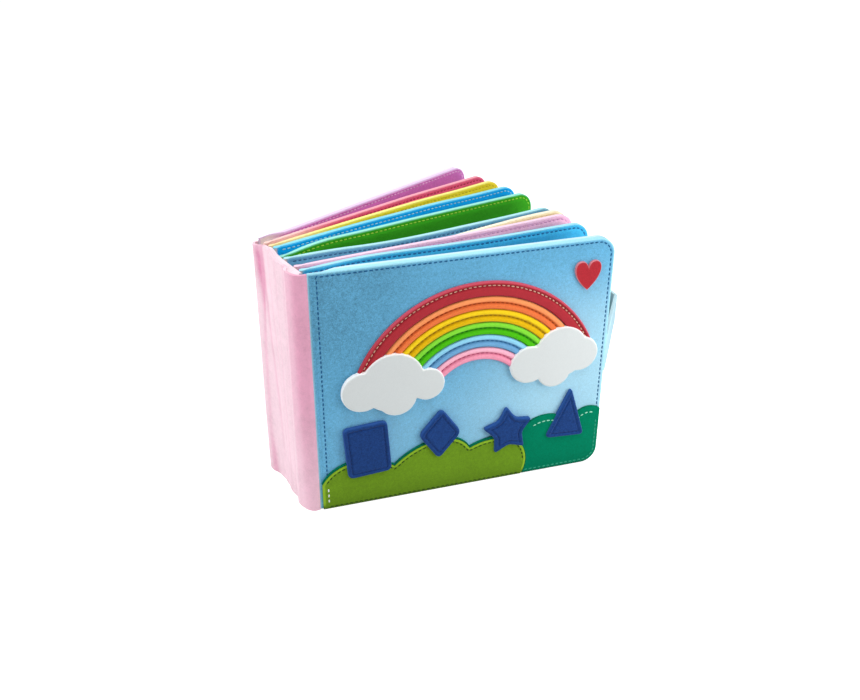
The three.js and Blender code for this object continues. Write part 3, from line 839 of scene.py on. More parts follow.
# %% Cover sheets
def cover_sheet(name, side, lining, seed):
    """side is -1 for the front cover and 1 for the back cover."""
    sheet = divided_sheet(name, -0.4 if lining else -COVER_FACE, *COVER_EDGES)
    x, y, z = points_of(sheet).T
    outer = y < 0
    inside = from_edge(x, z, *COVER_EDGES)
    swell = ease((inside - SEAM_IN) / 6) * ease((x - 6) / 8)
    uneven = swell * (0.1 + 0.08 * wander(x, z, seed, 42))
    under = COVER_FACE + (COVER_MIDDLE - COVER_FACE) * ease((x - HEM_WIDTH) / HEM_SLOPE)
    if lining:
        padding = ease((x - HEM_WIDTH - HEM_SLOPE / 2) / HEM_SLOPE)
        thick = 0.45 + (COVER_BACK - COVER_MIDDLE - 0.45) * padding
        top = np.maximum(thick + edge_roll(inside) + uneven, 0.25)
        level = under + np.where(outer, top, 0.05)
        rim_at, hem_and_painted_shade, nap_and_painted_sheen = inside, 1 - ease((x - 6) / 18), 0 * x
    else:
        spine_seam = 0.3 * hollow(x - 5.2, 0.85)
        top = -COVER_FACE - edge_roll(np.minimum(inside, x + 1.2)) * 0.7 - uneven + spine_seam
        level = np.where(outer, top, under - 0.05)
        # A paler painted highlight lies along the cut edges and along the spine-side edge.
        rim_at = np.minimum(inside, x + 1.0)
        # Painted shade deepens the front felt towards the upper left.
        hem_and_painted_shade = ease((z - 60) / 110) * ease((100 - x) / 85)
        # A paler painted sheen grows towards the fore-edge and, a little, low down.
        towards_edge = 0.62 * ease((x - 70) / 150) * ease((182 - z) / 75)
        low_part = 0.2 * ease((115 - z) / 60) * ease((x + 10) / 60)
        nap_and_painted_sheen = np.minimum(towards_edge + low_part, 0.68)
    set_points(sheet, np.stack([x, -side * level, z], 1))
    carry_number(sheet, "painted_edge_light", np.where(outer, 1 - ease((rim_at - 0.4) / 1.0), 1))
    carry_number(sheet, "hem_and_painted_shade", hem_and_painted_shade)
    carry_number(sheet, "nap_and_painted_sheen", nap_and_painted_sheen)
    face_outwards(sheet)
    return sheet


print("cover", COVER_WIDTH, "by", COVER_HEIGHT, "by", COVER_THICK, "mm")

# %% Front and back cover
# The sky blue felt carries a paler painted edge highlight, a deeper painted shade and a paler painted sheen.
sky_blue = felt("sky_blue_felt", "#62abd2", painted_edge_light="#a4e2f2", hem_and_painted_shade="#5799bc", nap_and_painted_sheen="#b9e2f0",
                contrast=0.24, grain=0.34, gloss=0.2, nap=0.75)
pale_blue = felt("pale_blue_felt", "#8cc6e6", painted_edge_light="#c8ecf8")
lavender = felt("lavender_felt", "#b7a2d8", painted_edge_light="#f3eaf8")
purple = felt("purple_felt", "#d880d0", painted_edge_light="#e8d0f0", hem_and_painted_shade="#fff6f2")
for name, side, place, outer_felt, inner_felt in (
    ("front_cover", -1, front_place, (sky_blue, "sky_blue_felt"), (pale_blue, "pale_blue_felt")),
    ("back_cover", 1, back_place, (lavender, "lavender_felt"), (purple, "purple_felt")),
):
    face = cover_sheet(f"{name}_face", side, False, 11 + side)
    put_down(face, place, name, *outer_felt, [f"{name}_outer_felt"])
    inner = cover_sheet(f"{name}_inside", side, True, 21 + side)
    put_down(inner, place, name, *inner_felt, [f"{name}_lining_felt"])
print("covers made")

# %% Seams of the covers
SPINE_SEAM = 5.2
blue_thread = thread("dark_blue_thread", "#255f8c")
violet_thread = thread("violet_thread", "#8f7cc0")
mauve_thread = thread("mauve_thread", "#f0c4ee")
cover_level = COVER_FACE - 0.22
inside_level = COVER_BACK + level_at(edge_roll, SEAM_IN) + 0.06


def front_border(lowest_left, lowest_right):
    """Up the spine side, along the head and down the fore-edge, to the hills."""
    right, head, radius = COVER_WIDTH - SEAM_IN, COVER_HEIGHT - SEAM_IN, CORNER - SEAM_IN
    corner = arc(right - radius, head - radius, radius, 90, 0, 9)
    return [(SPINE_SEAM, lowest_left), (SPINE_SEAM, head)] + corner + [(right, lowest_right)]


lining_border = border(*COVER_EDGES, 24)
for name, line, level, yarn, place, body, slot, closed in (
    ("front_cover_seam", front_border(24, 43), -cover_level, blue_thread,
     front_place, "front_cover", "sky_blue_felt", False),
    ("back_cover_seam", border(*COVER_EDGES, SPINE_SEAM), cover_level, violet_thread,
     back_place, "back_cover", "lavender_felt", True),
    ("front_cover_lining_seam", lining_border, inside_level, blue_thread,
     front_place, "front_cover", "pale_blue_felt", False),
    ("back_cover_lining_seam", lining_border, -inside_level, mauve_thread,
     back_place, "back_cover", "purple_felt", False),
):
    path = [(x, level, z) for x, z in line]
    sew(name, path, (0, math.copysign(1, level), 0), yarn, place, body, slot, closed=closed)
print("cover seams made")

# %% [markdown]
# ## The rainbow
# Each band is a strip of felt folded over a soft core and sewn along one line, so it swells
# on both sides of the stitches. The section is drawn once as a strip of points and swept
# about the middle of the rainbow with the spin operator, from one cloud to the other. The
# upper edge of a band catches the light, and its groove and lower edge lie in shade.

# %% Band section and sweep
APPLIQUE_BACK = -0.98
RAINBOW_X, RAINBOW_Z, RAINBOW_RADIUS = 118.2, 70.5, 96.7
RED_WIDTH, BAND_WIDTH, BAND_THICK, BAND_LAP = 11.4, 9.85, 2.6, 0.25
RAINBOW_END = 24.0
FRONT = (0, -1, 0)
on_front = front_place @ shift(0, APPLIQUE_BACK, 0)


def band_level(share, groove, width):
    """Rise of a band across its width, as a share of its thickness."""
    lip = round_lip(np.minimum(share, 1 - share) * width, 1.9, 0.3)
    return lip * (0.48 + 0.52 * ease((np.abs(share - groove) * width - 0.25) / 1.7))


def rainbow_band(name, outer, inner, groove, seed):
    bend = (1 - np.cos(np.linspace(0, math.pi, 18))) / 2
    shares = np.concatenate([groove * bend, groove + (1 - groove) * bend[1:]])
    width = outer - inner
    rises = band_level(shares, groove, width) * BAND_THICK
    start = math.radians(RAINBOW_END)
    section = []
    for share, rise in list(zip(shares, rises)) + [(1, 0), (0, 0)]:
        radius = inner + share * width
        section.append((RAINBOW_X + radius * math.cos(start), APPLIQUE_BACK - rise,
                        RAINBOW_Z + radius * math.sin(start)))
    band = blank(name, section)
    edit(band)
    bpy.ops.mesh.spin(steps=110, angle=math.radians(180 - 2 * RAINBOW_END),
                      center=Vector((RAINBOW_X, 0, RAINBOW_Z)) * MM, axis=(0, 1, 0))
    close_edit()
    points = points_of(band)
    aside, above = points[:, 0] - RAINBOW_X, points[:, 2] - RAINBOW_Z
    turn = np.degrees(np.arctan2(above, aside))
    lift = (APPLIQUE_BACK - points[:, 1]) / BAND_THICK
    points[:, 1] -= 0.09 * lift * wander(turn, np.full(len(turn), float(seed)), seed, 9)
    set_points(band, points)
    share = (np.hypot(aside, above) - inner) / width
    # The upper edge is painted paler as a highlight; on the red band it fades towards the left end.
    off_middle = groove > 0.65
    lit_from = 0.86 if off_middle else groove + 0.06
    lit = 0.2 + 0.8 * ease((160 - turn) / 35) if off_middle else 1
    carry_number(band, "painted_edge_light", 0.9 * lit * ease((share - lit_from) / 0.12))
    # The groove and the lower edge are painted darker, as shade.
    shaded = 0.55 * hollow(np.abs(share - groove) * width, 0.9)
    carry_number(band, "hem_and_painted_shade", np.maximum(shaded, 0.95 * (1 - ease(share * width / 1.2))))
    face_outwards(band)
    return band


print("rainbow", 2 * RAINBOW_RADIUS, "mm across")

# %% Six bands
BANDS = [
    # name, felt, painted highlight of the lit edge, painted shade of the groove and lower edge, thread,
    # groove
    ("red", "#b0303a", "#d2566a", "#701a24", "#ffd2b4", 0.72),
    ("orange", "#ee7a42", "#ff9e62", "#b04a18", "#a8481a", 0.52),
    ("yellow", "#e6b90c", "#f8d420", "#9c7406", "#a88208", 0.52),
    ("green", "#4cbe10", "#88e23e", "#247c0c", "#227a0c", 0.52),
    ("blue", "#6fa8d4", "#94d8f4", "#2c6a98", "#2f6a9c", 0.52),
    ("pink", "#f29ab4", "#fcb8cc", "#c86484", "#c4607e", 0.52),
]
outer = RAINBOW_RADIUS
for index, (colour, code, edge, deep, yarn, groove) in enumerate(BANDS):
    width = RED_WIDTH if index == 0 else BAND_WIDTH
    inner = outer - width + BAND_LAP
    slot = f"rainbow_{colour}_felt"
    band = rainbow_band(f"rainbow_{colour}_band", outer, inner, groove, 5 + index)
    finish = felt(f"rainbow_{colour}_finish", code, painted_edge_light=edge, hem_and_painted_shade=deep, contrast=0.1)
    put_down(band, front_place, "front_cover", finish, slot, [f"rainbow_{colour}"])
    radius = inner + groove * (outer - inner)
    level = APPLIQUE_BACK - BAND_THICK * float(band_level(groove, groove, width)) - 0.05
    path = [(x, level, z) for x, z in
            arc(RAINBOW_X, RAINBOW_Z, radius, RAINBOW_END, 180 - RAINBOW_END, 90)]
    sew(f"rainbow_{colour}_seam", path, FRONT, thread(f"{colour}_thread", yarn), front_place,
        "front_cover", slot, step=3.5, length=2.3, width=0.8, rise=0.42)
    outer -= width
print("bands made", len(BANDS), "inner radius", round(outer, 2))

# %% [markdown]
# ## Padded shapes: clouds and blue shapes
# A padded shape starts as a thick flat piece. A voxel remesh gives it an even skin, and the
# skin is then lowered or raised by how far each point lies from the outline: low at the edge,
# full just inside it, and dipped again where a seam runs. That distance is worked out from the
# outline's own points, so it works for lobes, stars and corners alike.


# %% Distance from an outline
def inside_of(outline, x, z):
    """Distance of points from a closed outline, positive inside it."""
    corners = np.asarray(outline, float)
    steps = np.roll(corners, -1, axis=0) - corners
    here = np.stack([x, z], 1)
    nearest = np.full(len(here), 1e9)
    crossings = np.zeros(len(here), int)
    for start, step in zip(corners, steps):
        rel = here - start
        t = np.clip(rel @ step / max(step @ step, 1e-12), 0, 1)
        nearest = np.minimum(nearest, np.linalg.norm(rel - t[:, None] * step, axis=1))
        above = (start[1] > here[:, 1]) != (start[1] + step[1] > here[:, 1])
        rise = step[1] if abs(step[1]) > 1e-12 else 1e-12
        cut = start[0] + (here[:, 1] - start[1]) * step[0] / rise
        crossings += above & (here[:, 0] < cut)
    return np.where(crossings % 2 == 1, nearest, -nearest)


def padded_shape(name, outline, thick, voxel, profile, rim_width):
    """A closed pad from y = 0 to the front; profile is its thickness by distance inside."""
    pad = cut_felt(name, outline, thick)
    add_modifier(pad, "REMESH", mode="VOXEL", voxel_size=voxel * MM)
    add_modifier(pad, "SMOOTH", factor=0.5, iterations=5)
    points = points_of(pad)
    inside = inside_of(outline, points[:, 0], points[:, 2])
    points[:, 1] *= profile(np.maximum(inside, 0)) / thick
    set_points(pad, points)
    # The edge is painted paler, as a highlight where it rounds over.
    carry_number(pad, "painted_edge_light", 1 - ease(inside / rim_width))
    face_outwards(pad)
    return pad


print("padded shapes ready")

# %% Clouds
CLOUDS = {
    # the overlapping rounds of each cloud: middle and radius
    "left": [(32.9, 95.2, 15.5), (55.05, 99.3, 23.1), (80.35, 94.15, 12.7), (57.75, 86.9, 14.5)],
    "right": [(158.1, 96.85, 15.05), (182.6, 103.2, 20.85), (198.1, 99.65, 13.8),
              (177.9, 88.2, 12.95)],
}
CLOUD_THICK, CLOUD_VOXEL, CLOUD_RIM = 3.9, 0.75, 1.1


def lobed_outline(lobes):
    """Outline of overlapping rounds: the points of each that lie in no other, in order."""
    middle = max(lobes, key=lambda lobe: lobe[2])
    kept = []
    for lobe in lobes:
        others = [other for other in lobes if other is not lobe]
        kept += [(px, pz) for px, pz in arc(*lobe, 0, 359, 240)
                 if all(math.hypot(px - x, pz - z) >= radius for x, z, radius in others)]
    return sorted(kept, key=lambda p: math.atan2(p[1] - middle[1], p[0] - middle[0]))


def cloud_level(inside):
    return CLOUD_THICK * round_lip(inside, 1.1, 0.7) + 0.25 * ease(inside / 12)


cloud_white = felt("cloud_white_felt", "#d5dada", painted_edge_light="#fafcfc", contrast=0.025, fuzz=0.05,
                   bump=0.07)
for word, lobes in CLOUDS.items():
    outline = lobed_outline(lobes)
    cloud = padded_shape(f"cloud_{word}_pad", outline, CLOUD_THICK, CLOUD_VOXEL, cloud_level,
                         CLOUD_RIM)
    put_down(cloud, on_front, "front_cover", cloud_white, "cloud_white_felt", [f"cloud_{word}"])
    print(cloud.name, len(cloud.data.polygons), "faces")

# %% [markdown]
# ## The hills
# The hills are flat felt, cut with scissors along humps. The light green piece lies in front,
# and the dark green one shows as a rim above it and rises at the fore-edge corner. Each is an
# outline drawn with curves, pulled to the felt's thickness, with its cut edge rounded over.
# The dark piece is cut out along the light one, so that the two lie side by side. Straight
# cuts near the foot let the felt grow darker there, where the book stands in its own shade.

# %% Drawing the hills
COLUMN, ROW = COVER_WIDTH / 40, COVER_HEIGHT / 40
HILL_LEFT, HILL_FOOT, HILL_RIM, HILL_INSET, HILL_THICK = 1.0, 0.3, 2.2, 0.7, 1.75
LIGHT_GROW = 0.7


def hump(line, grow, *handles):
    """Carries a line on by a curve with its handles in columns and rows of the cover."""
    line += bezier([line[-1]] + [(c * COLUMN, r * ROW + grow) for c, r in handles])


def first_humps(foot, grow):
    """The left side and the two humps that both hills share."""
    line = [(HILL_LEFT, foot), (HILL_LEFT, 4.5 * ROW + grow)]
    hump(line, grow, (1.5, 7.5), (5.8, 9.4), (10.1, 5.8))
    hump(line, grow, (13, 9.2), (18.7, 11), (20.7, 6.7))
    return line


def light_hill(grow=LIGHT_GROW, drop=0.0):
    right = 28.9 * COLUMN + grow
    line = first_humps(HILL_FOOT - drop, grow)
    line += bezier([line[-1], (23 * COLUMN, 8.1 * ROW + grow),
                    (28.6 * COLUMN + grow, 8.7 * ROW + grow), (right, 3 * ROW)])
    line += bezier([line[-1], (right, 1.4 * ROW), (right - 0.6 * COLUMN, HILL_FOOT - drop)], 8)
    return line


def dark_hill():
    line = first_humps(2 * ROW, HILL_RIM)
    hump(line, HILL_RIM, (22.9, 8.1), (26.5, 7.9), (28.2, 8.1))
    hump(line, HILL_RIM, (29.8, 10.9), (33.8, 10.9), (35.3, 8.2))
    hump(line, HILL_RIM, (36.4, 10.5), (38.3, 11.1), ((COVER_WIDTH - HILL_INSET) / COLUMN, 9.8))
    line += arc(COVER_WIDTH - CORNER, CORNER, CORNER - HILL_INSET, 0, -90, 10)
    return line + [(27.3 * COLUMN, HILL_INSET), (27.3 * COLUMN, 2 * ROW)]


light_line, dark_line = light_hill(), dark_hill()
print("hill points", len(light_line), len(dark_line),
      "dark hill up to", round(max(z for _, z in dark_line), 1))

# %% Cutting the hills
STRIP_END = 27.55 * COLUMN
FOOT_CUTS = (1.2, 2.1, 3, 4.2, 6, 9, 13, 18)
hill_in_front = cut_felt("hill_light_piece", light_line, HILL_THICK)
round_over(hill_in_front, HILL_THICK, 0.5, (0.9, 0.6))
hill_behind = cut_felt("hill_dark_piece", dark_line, HILL_THICK)
template = cut_felt("hill_template", light_hill(0.95, 0.5), 6)
for point in template.data.vertices:
    point.co.y += 2 * MM
add_modifier(hill_behind, "BOOLEAN", operation="DIFFERENCE", object=template, solver="EXACT")
bpy.data.objects.remove(template)
round_over(hill_behind, HILL_THICK, 0.45)
for piece, outline, width in ((hill_in_front, light_line, 1.4), (hill_behind, dark_line, 0.1)):
    divide(piece, zs=FOOT_CUTS)
    divide(piece, xs=[STRIP_END])
    x, _, z = points_of(piece).T
    inside = inside_of(outline, x, z)
    # The cut edge is painted paler on the light hill and darker on the dark one, as light and shade, but not
    # near the foot.
    low = ease((6 - z) / 4)
    carry_number(piece, "painted_edge_light", (1 - low) * (1 - ease((inside - width) / 0.3)))
    # Painted shade darkens the foot, and painted shadow the strip of dark felt beside the light hill.
    foot = 0.6 * (1 - ease((z - HILL_INSET) / 2.4)) + 0.3 * (1 - ease(z / 19))
    shadow_strip = (piece is hill_behind) & (inside < 3) & (x < STRIP_END - 0.1)
    carry_number(piece, "hem_and_painted_shade", np.maximum(shadow_strip, foot))
print("hills", len(hill_in_front.data.polygons), len(hill_behind.data.polygons))

# %% Laying the hills
# Each hill's edge colour is painted light, and its darker tone is painted shade at the foot and along the
# strip.
light_green = felt("light_green_felt", "#6b921c", painted_edge_light="#8cb42a", hem_and_painted_shade="#3f5c0c", contrast=0.24)
dark_green = felt("dark_green_felt", "#007c5a", painted_edge_light="#017052", hem_and_painted_shade="#015c44", contrast=0.2,
                  fuzz=0.02, gloss=0.03)
for piece, finish, slot, solid in (
    (hill_in_front, light_green, "light_green_felt", "hill_light"),
    (hill_behind, dark_green, "dark_green_felt", "hill_dark"),
):
    put_down(piece, on_front, "front_cover", finish, slot, [solid])
print("hills laid")

# %% Sewing the hills
DARK_SEAM_IN = 3.4


def inset_line(line, inside):
    """A line moved sideways towards the inside of a piece that it goes round clockwise."""
    p = np.asarray(line, float)
    step = np.gradient(p, axis=0)
    step /= np.linalg.norm(step, axis=1, keepdims=True)
    return p + np.stack([step[:, 1], -step[:, 0]], 1) * inside


olive_thread = thread("olive_thread", "#2f4a0a")
white_thread = thread("white_thread", "#eef2ea")
mint_thread = thread("mint_thread", "#9fe0c4")
forest_thread = thread("forest_thread", "#2f9c7c")
hump_ends = [2 + CURVE_POINTS * count for count in range(6)]
light_top = light_line[hump_ends[0]:hump_ends[3]]
dark_top = dark_line[hump_ends[3]:hump_ends[5]]
light_humps = [p for p in inset_line(light_top, 2.4) if p[1] > 4.5]
dark_humps = [p for p in inset_line(dark_top, 5.2) if 29.8 * COLUMN < p[0] < 214]
light_foot = [(x, 2.2) for x in np.linspace(SPINE_SEAM, 28 * COLUMN, 30)]
dark_foot = [(x, DARK_SEAM_IN) for x in np.linspace(28.8 * COLUMN, COVER_WIDTH - CORNER, 16)]
dark_foot += arc(COVER_WIDTH - CORNER, CORNER, CORNER - DARK_SEAM_IN, -90, 0, 9)
dark_foot += [(COVER_WIDTH - DARK_SEAM_IN, 39)]
hill_face = APPLIQUE_BACK - HILL_THICK - 0.02
for name, line, yarn, slot in (
    ("hill_light_hump_seam", light_humps, olive_thread, "light_green_felt"),
    ("hill_light_side_seam", [(SPINE_SEAM, 5), (SPINE_SEAM, 19)], white_thread,
     "light_green_felt"),
    ("hill_light_foot_seam", light_foot, olive_thread, "light_green_felt"),
    ("hill_dark_hump_seam", dark_humps, mint_thread, "dark_green_felt"),
    ("hill_dark_foot_seam", dark_foot, forest_thread, "dark_green_felt"),
):
    path = [(x, hill_face, z) for x, z in line]
    sew(name, path, FRONT, yarn, front_place, "front_cover", slot, rise=0.34)
print("hills sewn")

# %% [markdown]
# ## Four blue shapes and a heart
# A row of plain shapes stands over the hills. Each is padded felt with a seam a few
# millimetres inside its edge, so the rim stands up like piping. The heart in the upper corner
# is one thickness of red felt, and its cut edge is painted paler than its face, as a highlight.

# %% Outlines of the shapes
SHAPE_WIDTH, SHAPE_HEIGHT, SHAPE_THICK, SHAPE_CORNER = 33.0, 43.0, 3.9, 5.0
half_w, half_h = SHAPE_WIDTH / 2, SHAPE_HEIGHT / 2


def softened(corners, radius):
    """A polygon with its corners rounded, and its sides divided."""
    line = []
    for i, corner in enumerate(corners):
        here = np.array(corner, float)
        ends = []
        for neighbour in (corners[i - 1], corners[(i + 1) % len(corners)]):
            away = np.array(neighbour, float) - here
            far = np.linalg.norm(away)
            ends.append(here + away / far * min(radius, far / 2))
        line += [tuple(ends[0])] + bezier([ends[0], here, ends[1]], 7)
    return line


def rectangle(half_x, half_z):
    return [(-half_x, -half_z), (half_x, -half_z), (half_x, half_z), (-half_x, half_z)]


def star(arms=5, inner=0.56):
    corners = []
    for k in range(2 * arms):
        reach = 1 if k % 2 == 0 else inner
        angle = math.pi / 2 + math.pi * k / arms
        corners.append((half_w * 1.25 * reach * math.cos(angle),
                        half_h * reach * math.sin(angle) - half_h * 0.08))
    return corners


BLUE_SHAPES = [
    # name, column, row, tilt, corners, rounding
    ("square", 6.4, 9.9, 4, rectangle(half_w, half_h), SHAPE_CORNER),
    ("diamond", 16.4, 10.6, -3, [(0, -half_h), (half_w, 0), (0, half_h), (-half_w, 0)],
     SHAPE_CORNER),
    ("star", 26.1, 9.4, 5, star(), SHAPE_CORNER * 0.6),
    ("triangle", 34.9, 10.7, -4, [(-half_w, -half_h), (half_w, -half_h), (0, half_h)],
     SHAPE_CORNER),
]
print("shapes", [s[0] for s in BLUE_SHAPES])

# %% Making the blue shapes
SHAPE_SEAM, SHAPE_VOXEL, SHAPE_RIM = 3.4, 0.62, 0.9


def shape_level(inside):
    channel = 0.26 * hollow(inside - SHAPE_SEAM, 0.75)
    middle = 0.06 * ease((inside - SHAPE_SEAM) / 2)
    return SHAPE_THICK * (round_lip(inside, 1.5, 0.55) - channel - middle)


def seam_inside(outline, inside):
    """The line a set distance inside an outline, without its loops in tight corners."""
    p = np.asarray(outline, float)
    step = np.roll(p, -1, axis=0) - np.roll(p, 1, axis=0)
    step /= np.linalg.norm(step, axis=1, keepdims=True)
    moved = p + np.stack([-step[:, 1], step[:, 0]], 1) * inside
    return moved[inside_of(outline, moved[:, 0], moved[:, 1]) > inside - 0.15]


deep_blue = felt("deep_blue_felt", "#1c3e7a", painted_edge_light="#2d5698", contrast=0.36)
navy_thread = thread("navy_thread", "#182f66")
seam_level = -level_at(shape_level, SHAPE_SEAM) - 0.05
for name, column, row, tilt, corners, rounding in BLUE_SHAPES:
    outline = softened(corners, rounding)
    pad = padded_shape(f"{name}_pad", outline, SHAPE_THICK, SHAPE_VOXEL, shape_level, SHAPE_RIM)
    place = front_place @ shift(column * COLUMN, APPLIQUE_BACK, row * ROW) @ turned(-tilt, "Y")
    put_down(pad, place, "front_cover", deep_blue, "deep_blue_felt", [f"shape_{name}"])
    path = [(x, seam_level, z) for x, z in seam_inside(outline, SHAPE_SEAM)]
    sew(f"{name}_seam", path, FRONT, navy_thread, place, "front_cover", "deep_blue_felt",
        step=3.2, length=2.1, width=0.7, rise=0.3, closed=True)
    print(name, len(pad.data.polygons), "faces")

# %% The heart
HEART_WIDTH, HEART_HEIGHT, HEART_THICK = 21.0, 22.0, 2.0
HEART_X, HEART_Z = 199.5, 161.5
hw, hh = HEART_WIDTH, HEART_HEIGHT / 2
heart_line = [(0, -hh)]
for handles, count in (
    ([(-hw * 0.62, 0), (-hw * 0.55, hh), (-hw * 0.24, hh)], 22),
    ([(-hw * 0.06, hh), (0, hh * 0.54)], 10),
    ([(hw * 0.06, hh), (hw * 0.24, hh)], 10),
    ([(hw * 0.55, hh), (hw * 0.62, 0), (0, -hh)], 22),
):
    heart_line += bezier([heart_line[-1]] + handles, count)
heart_line.pop()
heart = cut_felt("heart_piece", heart_line, HEART_THICK)
round_over(heart, HEART_THICK, 0.45, (0.4,))
x, _, z = points_of(heart).T
# The cut edge is painted paler, as a highlight.
carry_number(heart, "painted_edge_light", 1 - ease((inside_of(heart_line, x, z) - 0.05) / 0.4))
red_felt = felt("red_felt", "#b02c36", painted_edge_light="#e08890", contrast=0.14)
heart_place = front_place @ shift(HEART_X, APPLIQUE_BACK, HEART_Z)
put_down(heart, heart_place, "front_cover", red_felt, "red_felt", ["shape_heart"])
print("heart", len(heart.data.polygons), "faces")

# %% [markdown]
# ## The plush spine
# The spine is a short-pile plush that is gathered in soft upright folds between the two
# covers. It starts as a flat grid, as the cloth is cut, and each point is moved to where the
# folded cloth lies: a proud roll behind the front cover, a hollow over the page hems, and a
# smaller roll before the back cover. The fold is drawn as a line at the head and another at
# the foot, and the cloth between them goes over from one to the other. A few creases run up
# it. Solidify gives the thickness. A deeper pink is painted as shade where the cloth lies away
# from the light, in the creases, beside the cover and behind the roll, and the mesh carries a number for it.

# %% Line of the folded cloth
FOLD_AT_HEAD = [
    (-37.1, -1.25), (-36.5, -4.9), (-33.5, -8.4), (-28.5, -10.0), (-23.6, -10.0), (-20.9, -8.5),
    (-19.0, -6.9), (-16.5, -6.5), (-12, -6.9), (-6, -7.0), (0, -6.6), (7, -5.8), (14, -5.0),
    (19, -4.6), (23.5, -4.5), (27, -4.8), (30.5, -5.6), (33.8, -5.6), (36.4, -4.0), (37.1, -1.25),
]
FOLD_AT_FOOT = [
    (-37.1, -1.25), (-36.4, -5.0), (-33, -8.3), (-27, -9.9), (-21.5, -10.0), (-18.4, -8.7),
    (-16.0, -6.9), (-12, -7.2), (-7, -7.4), (-1, -6.5), (6, -5.3), (13, -4.8), (18.5, -4.9),
    (22.5, -5.8), (27, -7.2), (32.3, -7.1), (36.1, -4.8), (37.1, -1.25),
]


def smooth_line(points, shares):
    """Points of a smooth curve through the given ones, at shares of its length."""
    p = np.asarray(points, float)
    p = np.vstack([2 * p[0] - p[1], p, 2 * p[-1] - p[-2]])
    t = np.linspace(0, 1, 24, endpoint=False)[:, None]
    parts = []
    for a, b, c, d in zip(p[:-3], p[1:-2], p[2:-1], p[3:]):
        square, cube = 2 * a - 5 * b + 4 * c - d, 3 * b - a - 3 * c + d
        parts.append(0.5 * (2 * b + (c - a) * t + square * t ** 2 + cube * t ** 3))
    curve = np.vstack(parts + [p[-2:-1]])
    reach = lengths_along(curve)
    line = [np.interp(shares * reach[-1], reach, curve[:, k]) for k in range(2)]
    return np.stack(line, 1), reach[-1]


def head_of_spine(across):
    """Height of the cloth's upper edge: a rise before the back cover, a dip at the corner."""
    return COVER_HEIGHT + 2.6 * hollow(across - 13, 8) - 2.0 * ease((across - 20) / 14)


clear_hands()
bpy.ops.mesh.primitive_grid_add(x_subdivisions=150, y_subdivisions=56, size=1)
spine_cloth = named(bpy.context.object, "spine_plush")
share, rise, _ = points_of(spine_cloth).T * MM + 0.5
at_head, head_length = smooth_line(FOLD_AT_HEAD, share)
at_foot, foot_length = smooth_line(FOLD_AT_FOOT, share)
print("cloth width at the head", round(head_length, 1), "at the foot", round(foot_length, 1))

# %% Folds and creases of the cloth
CREASES = [
    # share of the height, place across, width and depth along each crease
    [(0.7, 23, 2, 0), (0.82, 24.5, 2.8, 0.55), (0.9, 26.5, 4.2, 0.95), (0.97, 27.5, 4.6, 0.9),
     (1, 27.5, 5, 0.45)],
    [(0, 24, 3.5, 0.5), (0.1, 25, 3.5, 0.45), (0.2, 26.5, 2.4, 0.25), (0.6, 26, 2.2, 0.3),
     (0.86, 21, 2.2, 0.45), (1, 22, 2.2, 0.3)],
    [(0.05, 6, 1.5, 0), (0.35, 10, 1.8, 0.25), (0.6, 14.5, 1.8, 0.3), (0.84, 19, 2.2, 0.35),
     (1, 20, 2, 0.2)],
    [(0.1, -2, 1.3, 0.1), (0.6, 4, 1.5, 0.18), (0.95, 9, 1.5, 0.12)],
    [(0, -7, 1.3, 0.13), (1, -3, 1.3, 0.13)],
]
CREASE_DEPTH, PLUSH_THICK = 0.7, 2.0
y, x = (at_foot + (at_head - at_foot) * ease(rise)[:, None]).T
free = np.sin(math.pi * share) ** 0.5
slow, quick = wander(y * 3, rise * 70, 2.3, 24), wander(y * 3, rise * 150, 9.1, 12)
creases = np.zeros(len(y))
for crease in CREASES:
    heights, *columns = zip(*crease)
    middle, wide, deep = (np.interp(rise, heights, column) for column in columns)
    creases += deep * hollow(y - middle, wide)
dents = CREASE_DEPTH * np.clip(creases, 0, 1) * ease((1 - rise) / 0.05)
x = x - free * (0.55 * slow + 0.22 * quick) + dents
set_points(spine_cloth, np.stack([x, y, rise * head_of_spine(y)], 1))
# Painted shade: a deeper pink beside the cover, behind the front roll and in the creases.
beside_cover = 0.5 * ease((-22.6 - y) / 3.4) + 0.38 * ease((-27.5 - y) / 7)
beside_cover = beside_cover * (0.45 + 0.55 * ease(rise / 0.6))
behind_roll = 0.35 * hollow(y + 17, 2.6)
painted_fold_shade = 0.7 * (beside_cover + behind_roll) + 0.9 * creases
carry_number(spine_cloth, "painted_fold_shade", np.clip(painted_fold_shade, 0, 1))
add_modifier(spine_cloth, "SOLIDIFY", thickness=PLUSH_THICK * MM, offset=0, use_even_offset=True)
face_outwards(spine_cloth)
print("spine cloth points", len(spine_cloth.data.vertices))


# %% Plush finish
def plush(name, code, deep):
    finish, tree, shader = new_finish(
        name, Sheen_Weight=0.22, Sheen_Roughness=0.4, Sheen_Tint=linear("#fdeef3"),
        Specular_IOR_Level=0.1)
    pile = speckle(tree, 1100, 4.0, 0.4)
    tufts = speckle(tree, 260, 3.0, 0.5)
    nap_and_painted_sheen = speckle(tree, 38, 3.0, 0.6)
    mixed = weigh(tree, [(pile, 0.35), (tufts, 0.3), (nap_and_painted_sheen, 0.35)])
    light, dark = (
        tones(tree, mixed, [(0.36, shade(tone, low)), (0.5, shade(tone, 1)),
                            (0.64, shade(tone, high))])
        for tone, low, high in ((code, 0.9, 1.07), (deep, 0.88, 1.1)))
    # The deeper pink is painted shade, laid on where the mesh's number says.
    tree.links.new(painted(tree, light, dark, "painted_fold_shade"), shader.inputs["Base Color"])
    fur = weigh(tree, [(pile, 0.5), (tufts, 0.5)])
    roughen(tree, shader, fur, 0.55, 0.0011, 0.88, 1.0)
    return finish


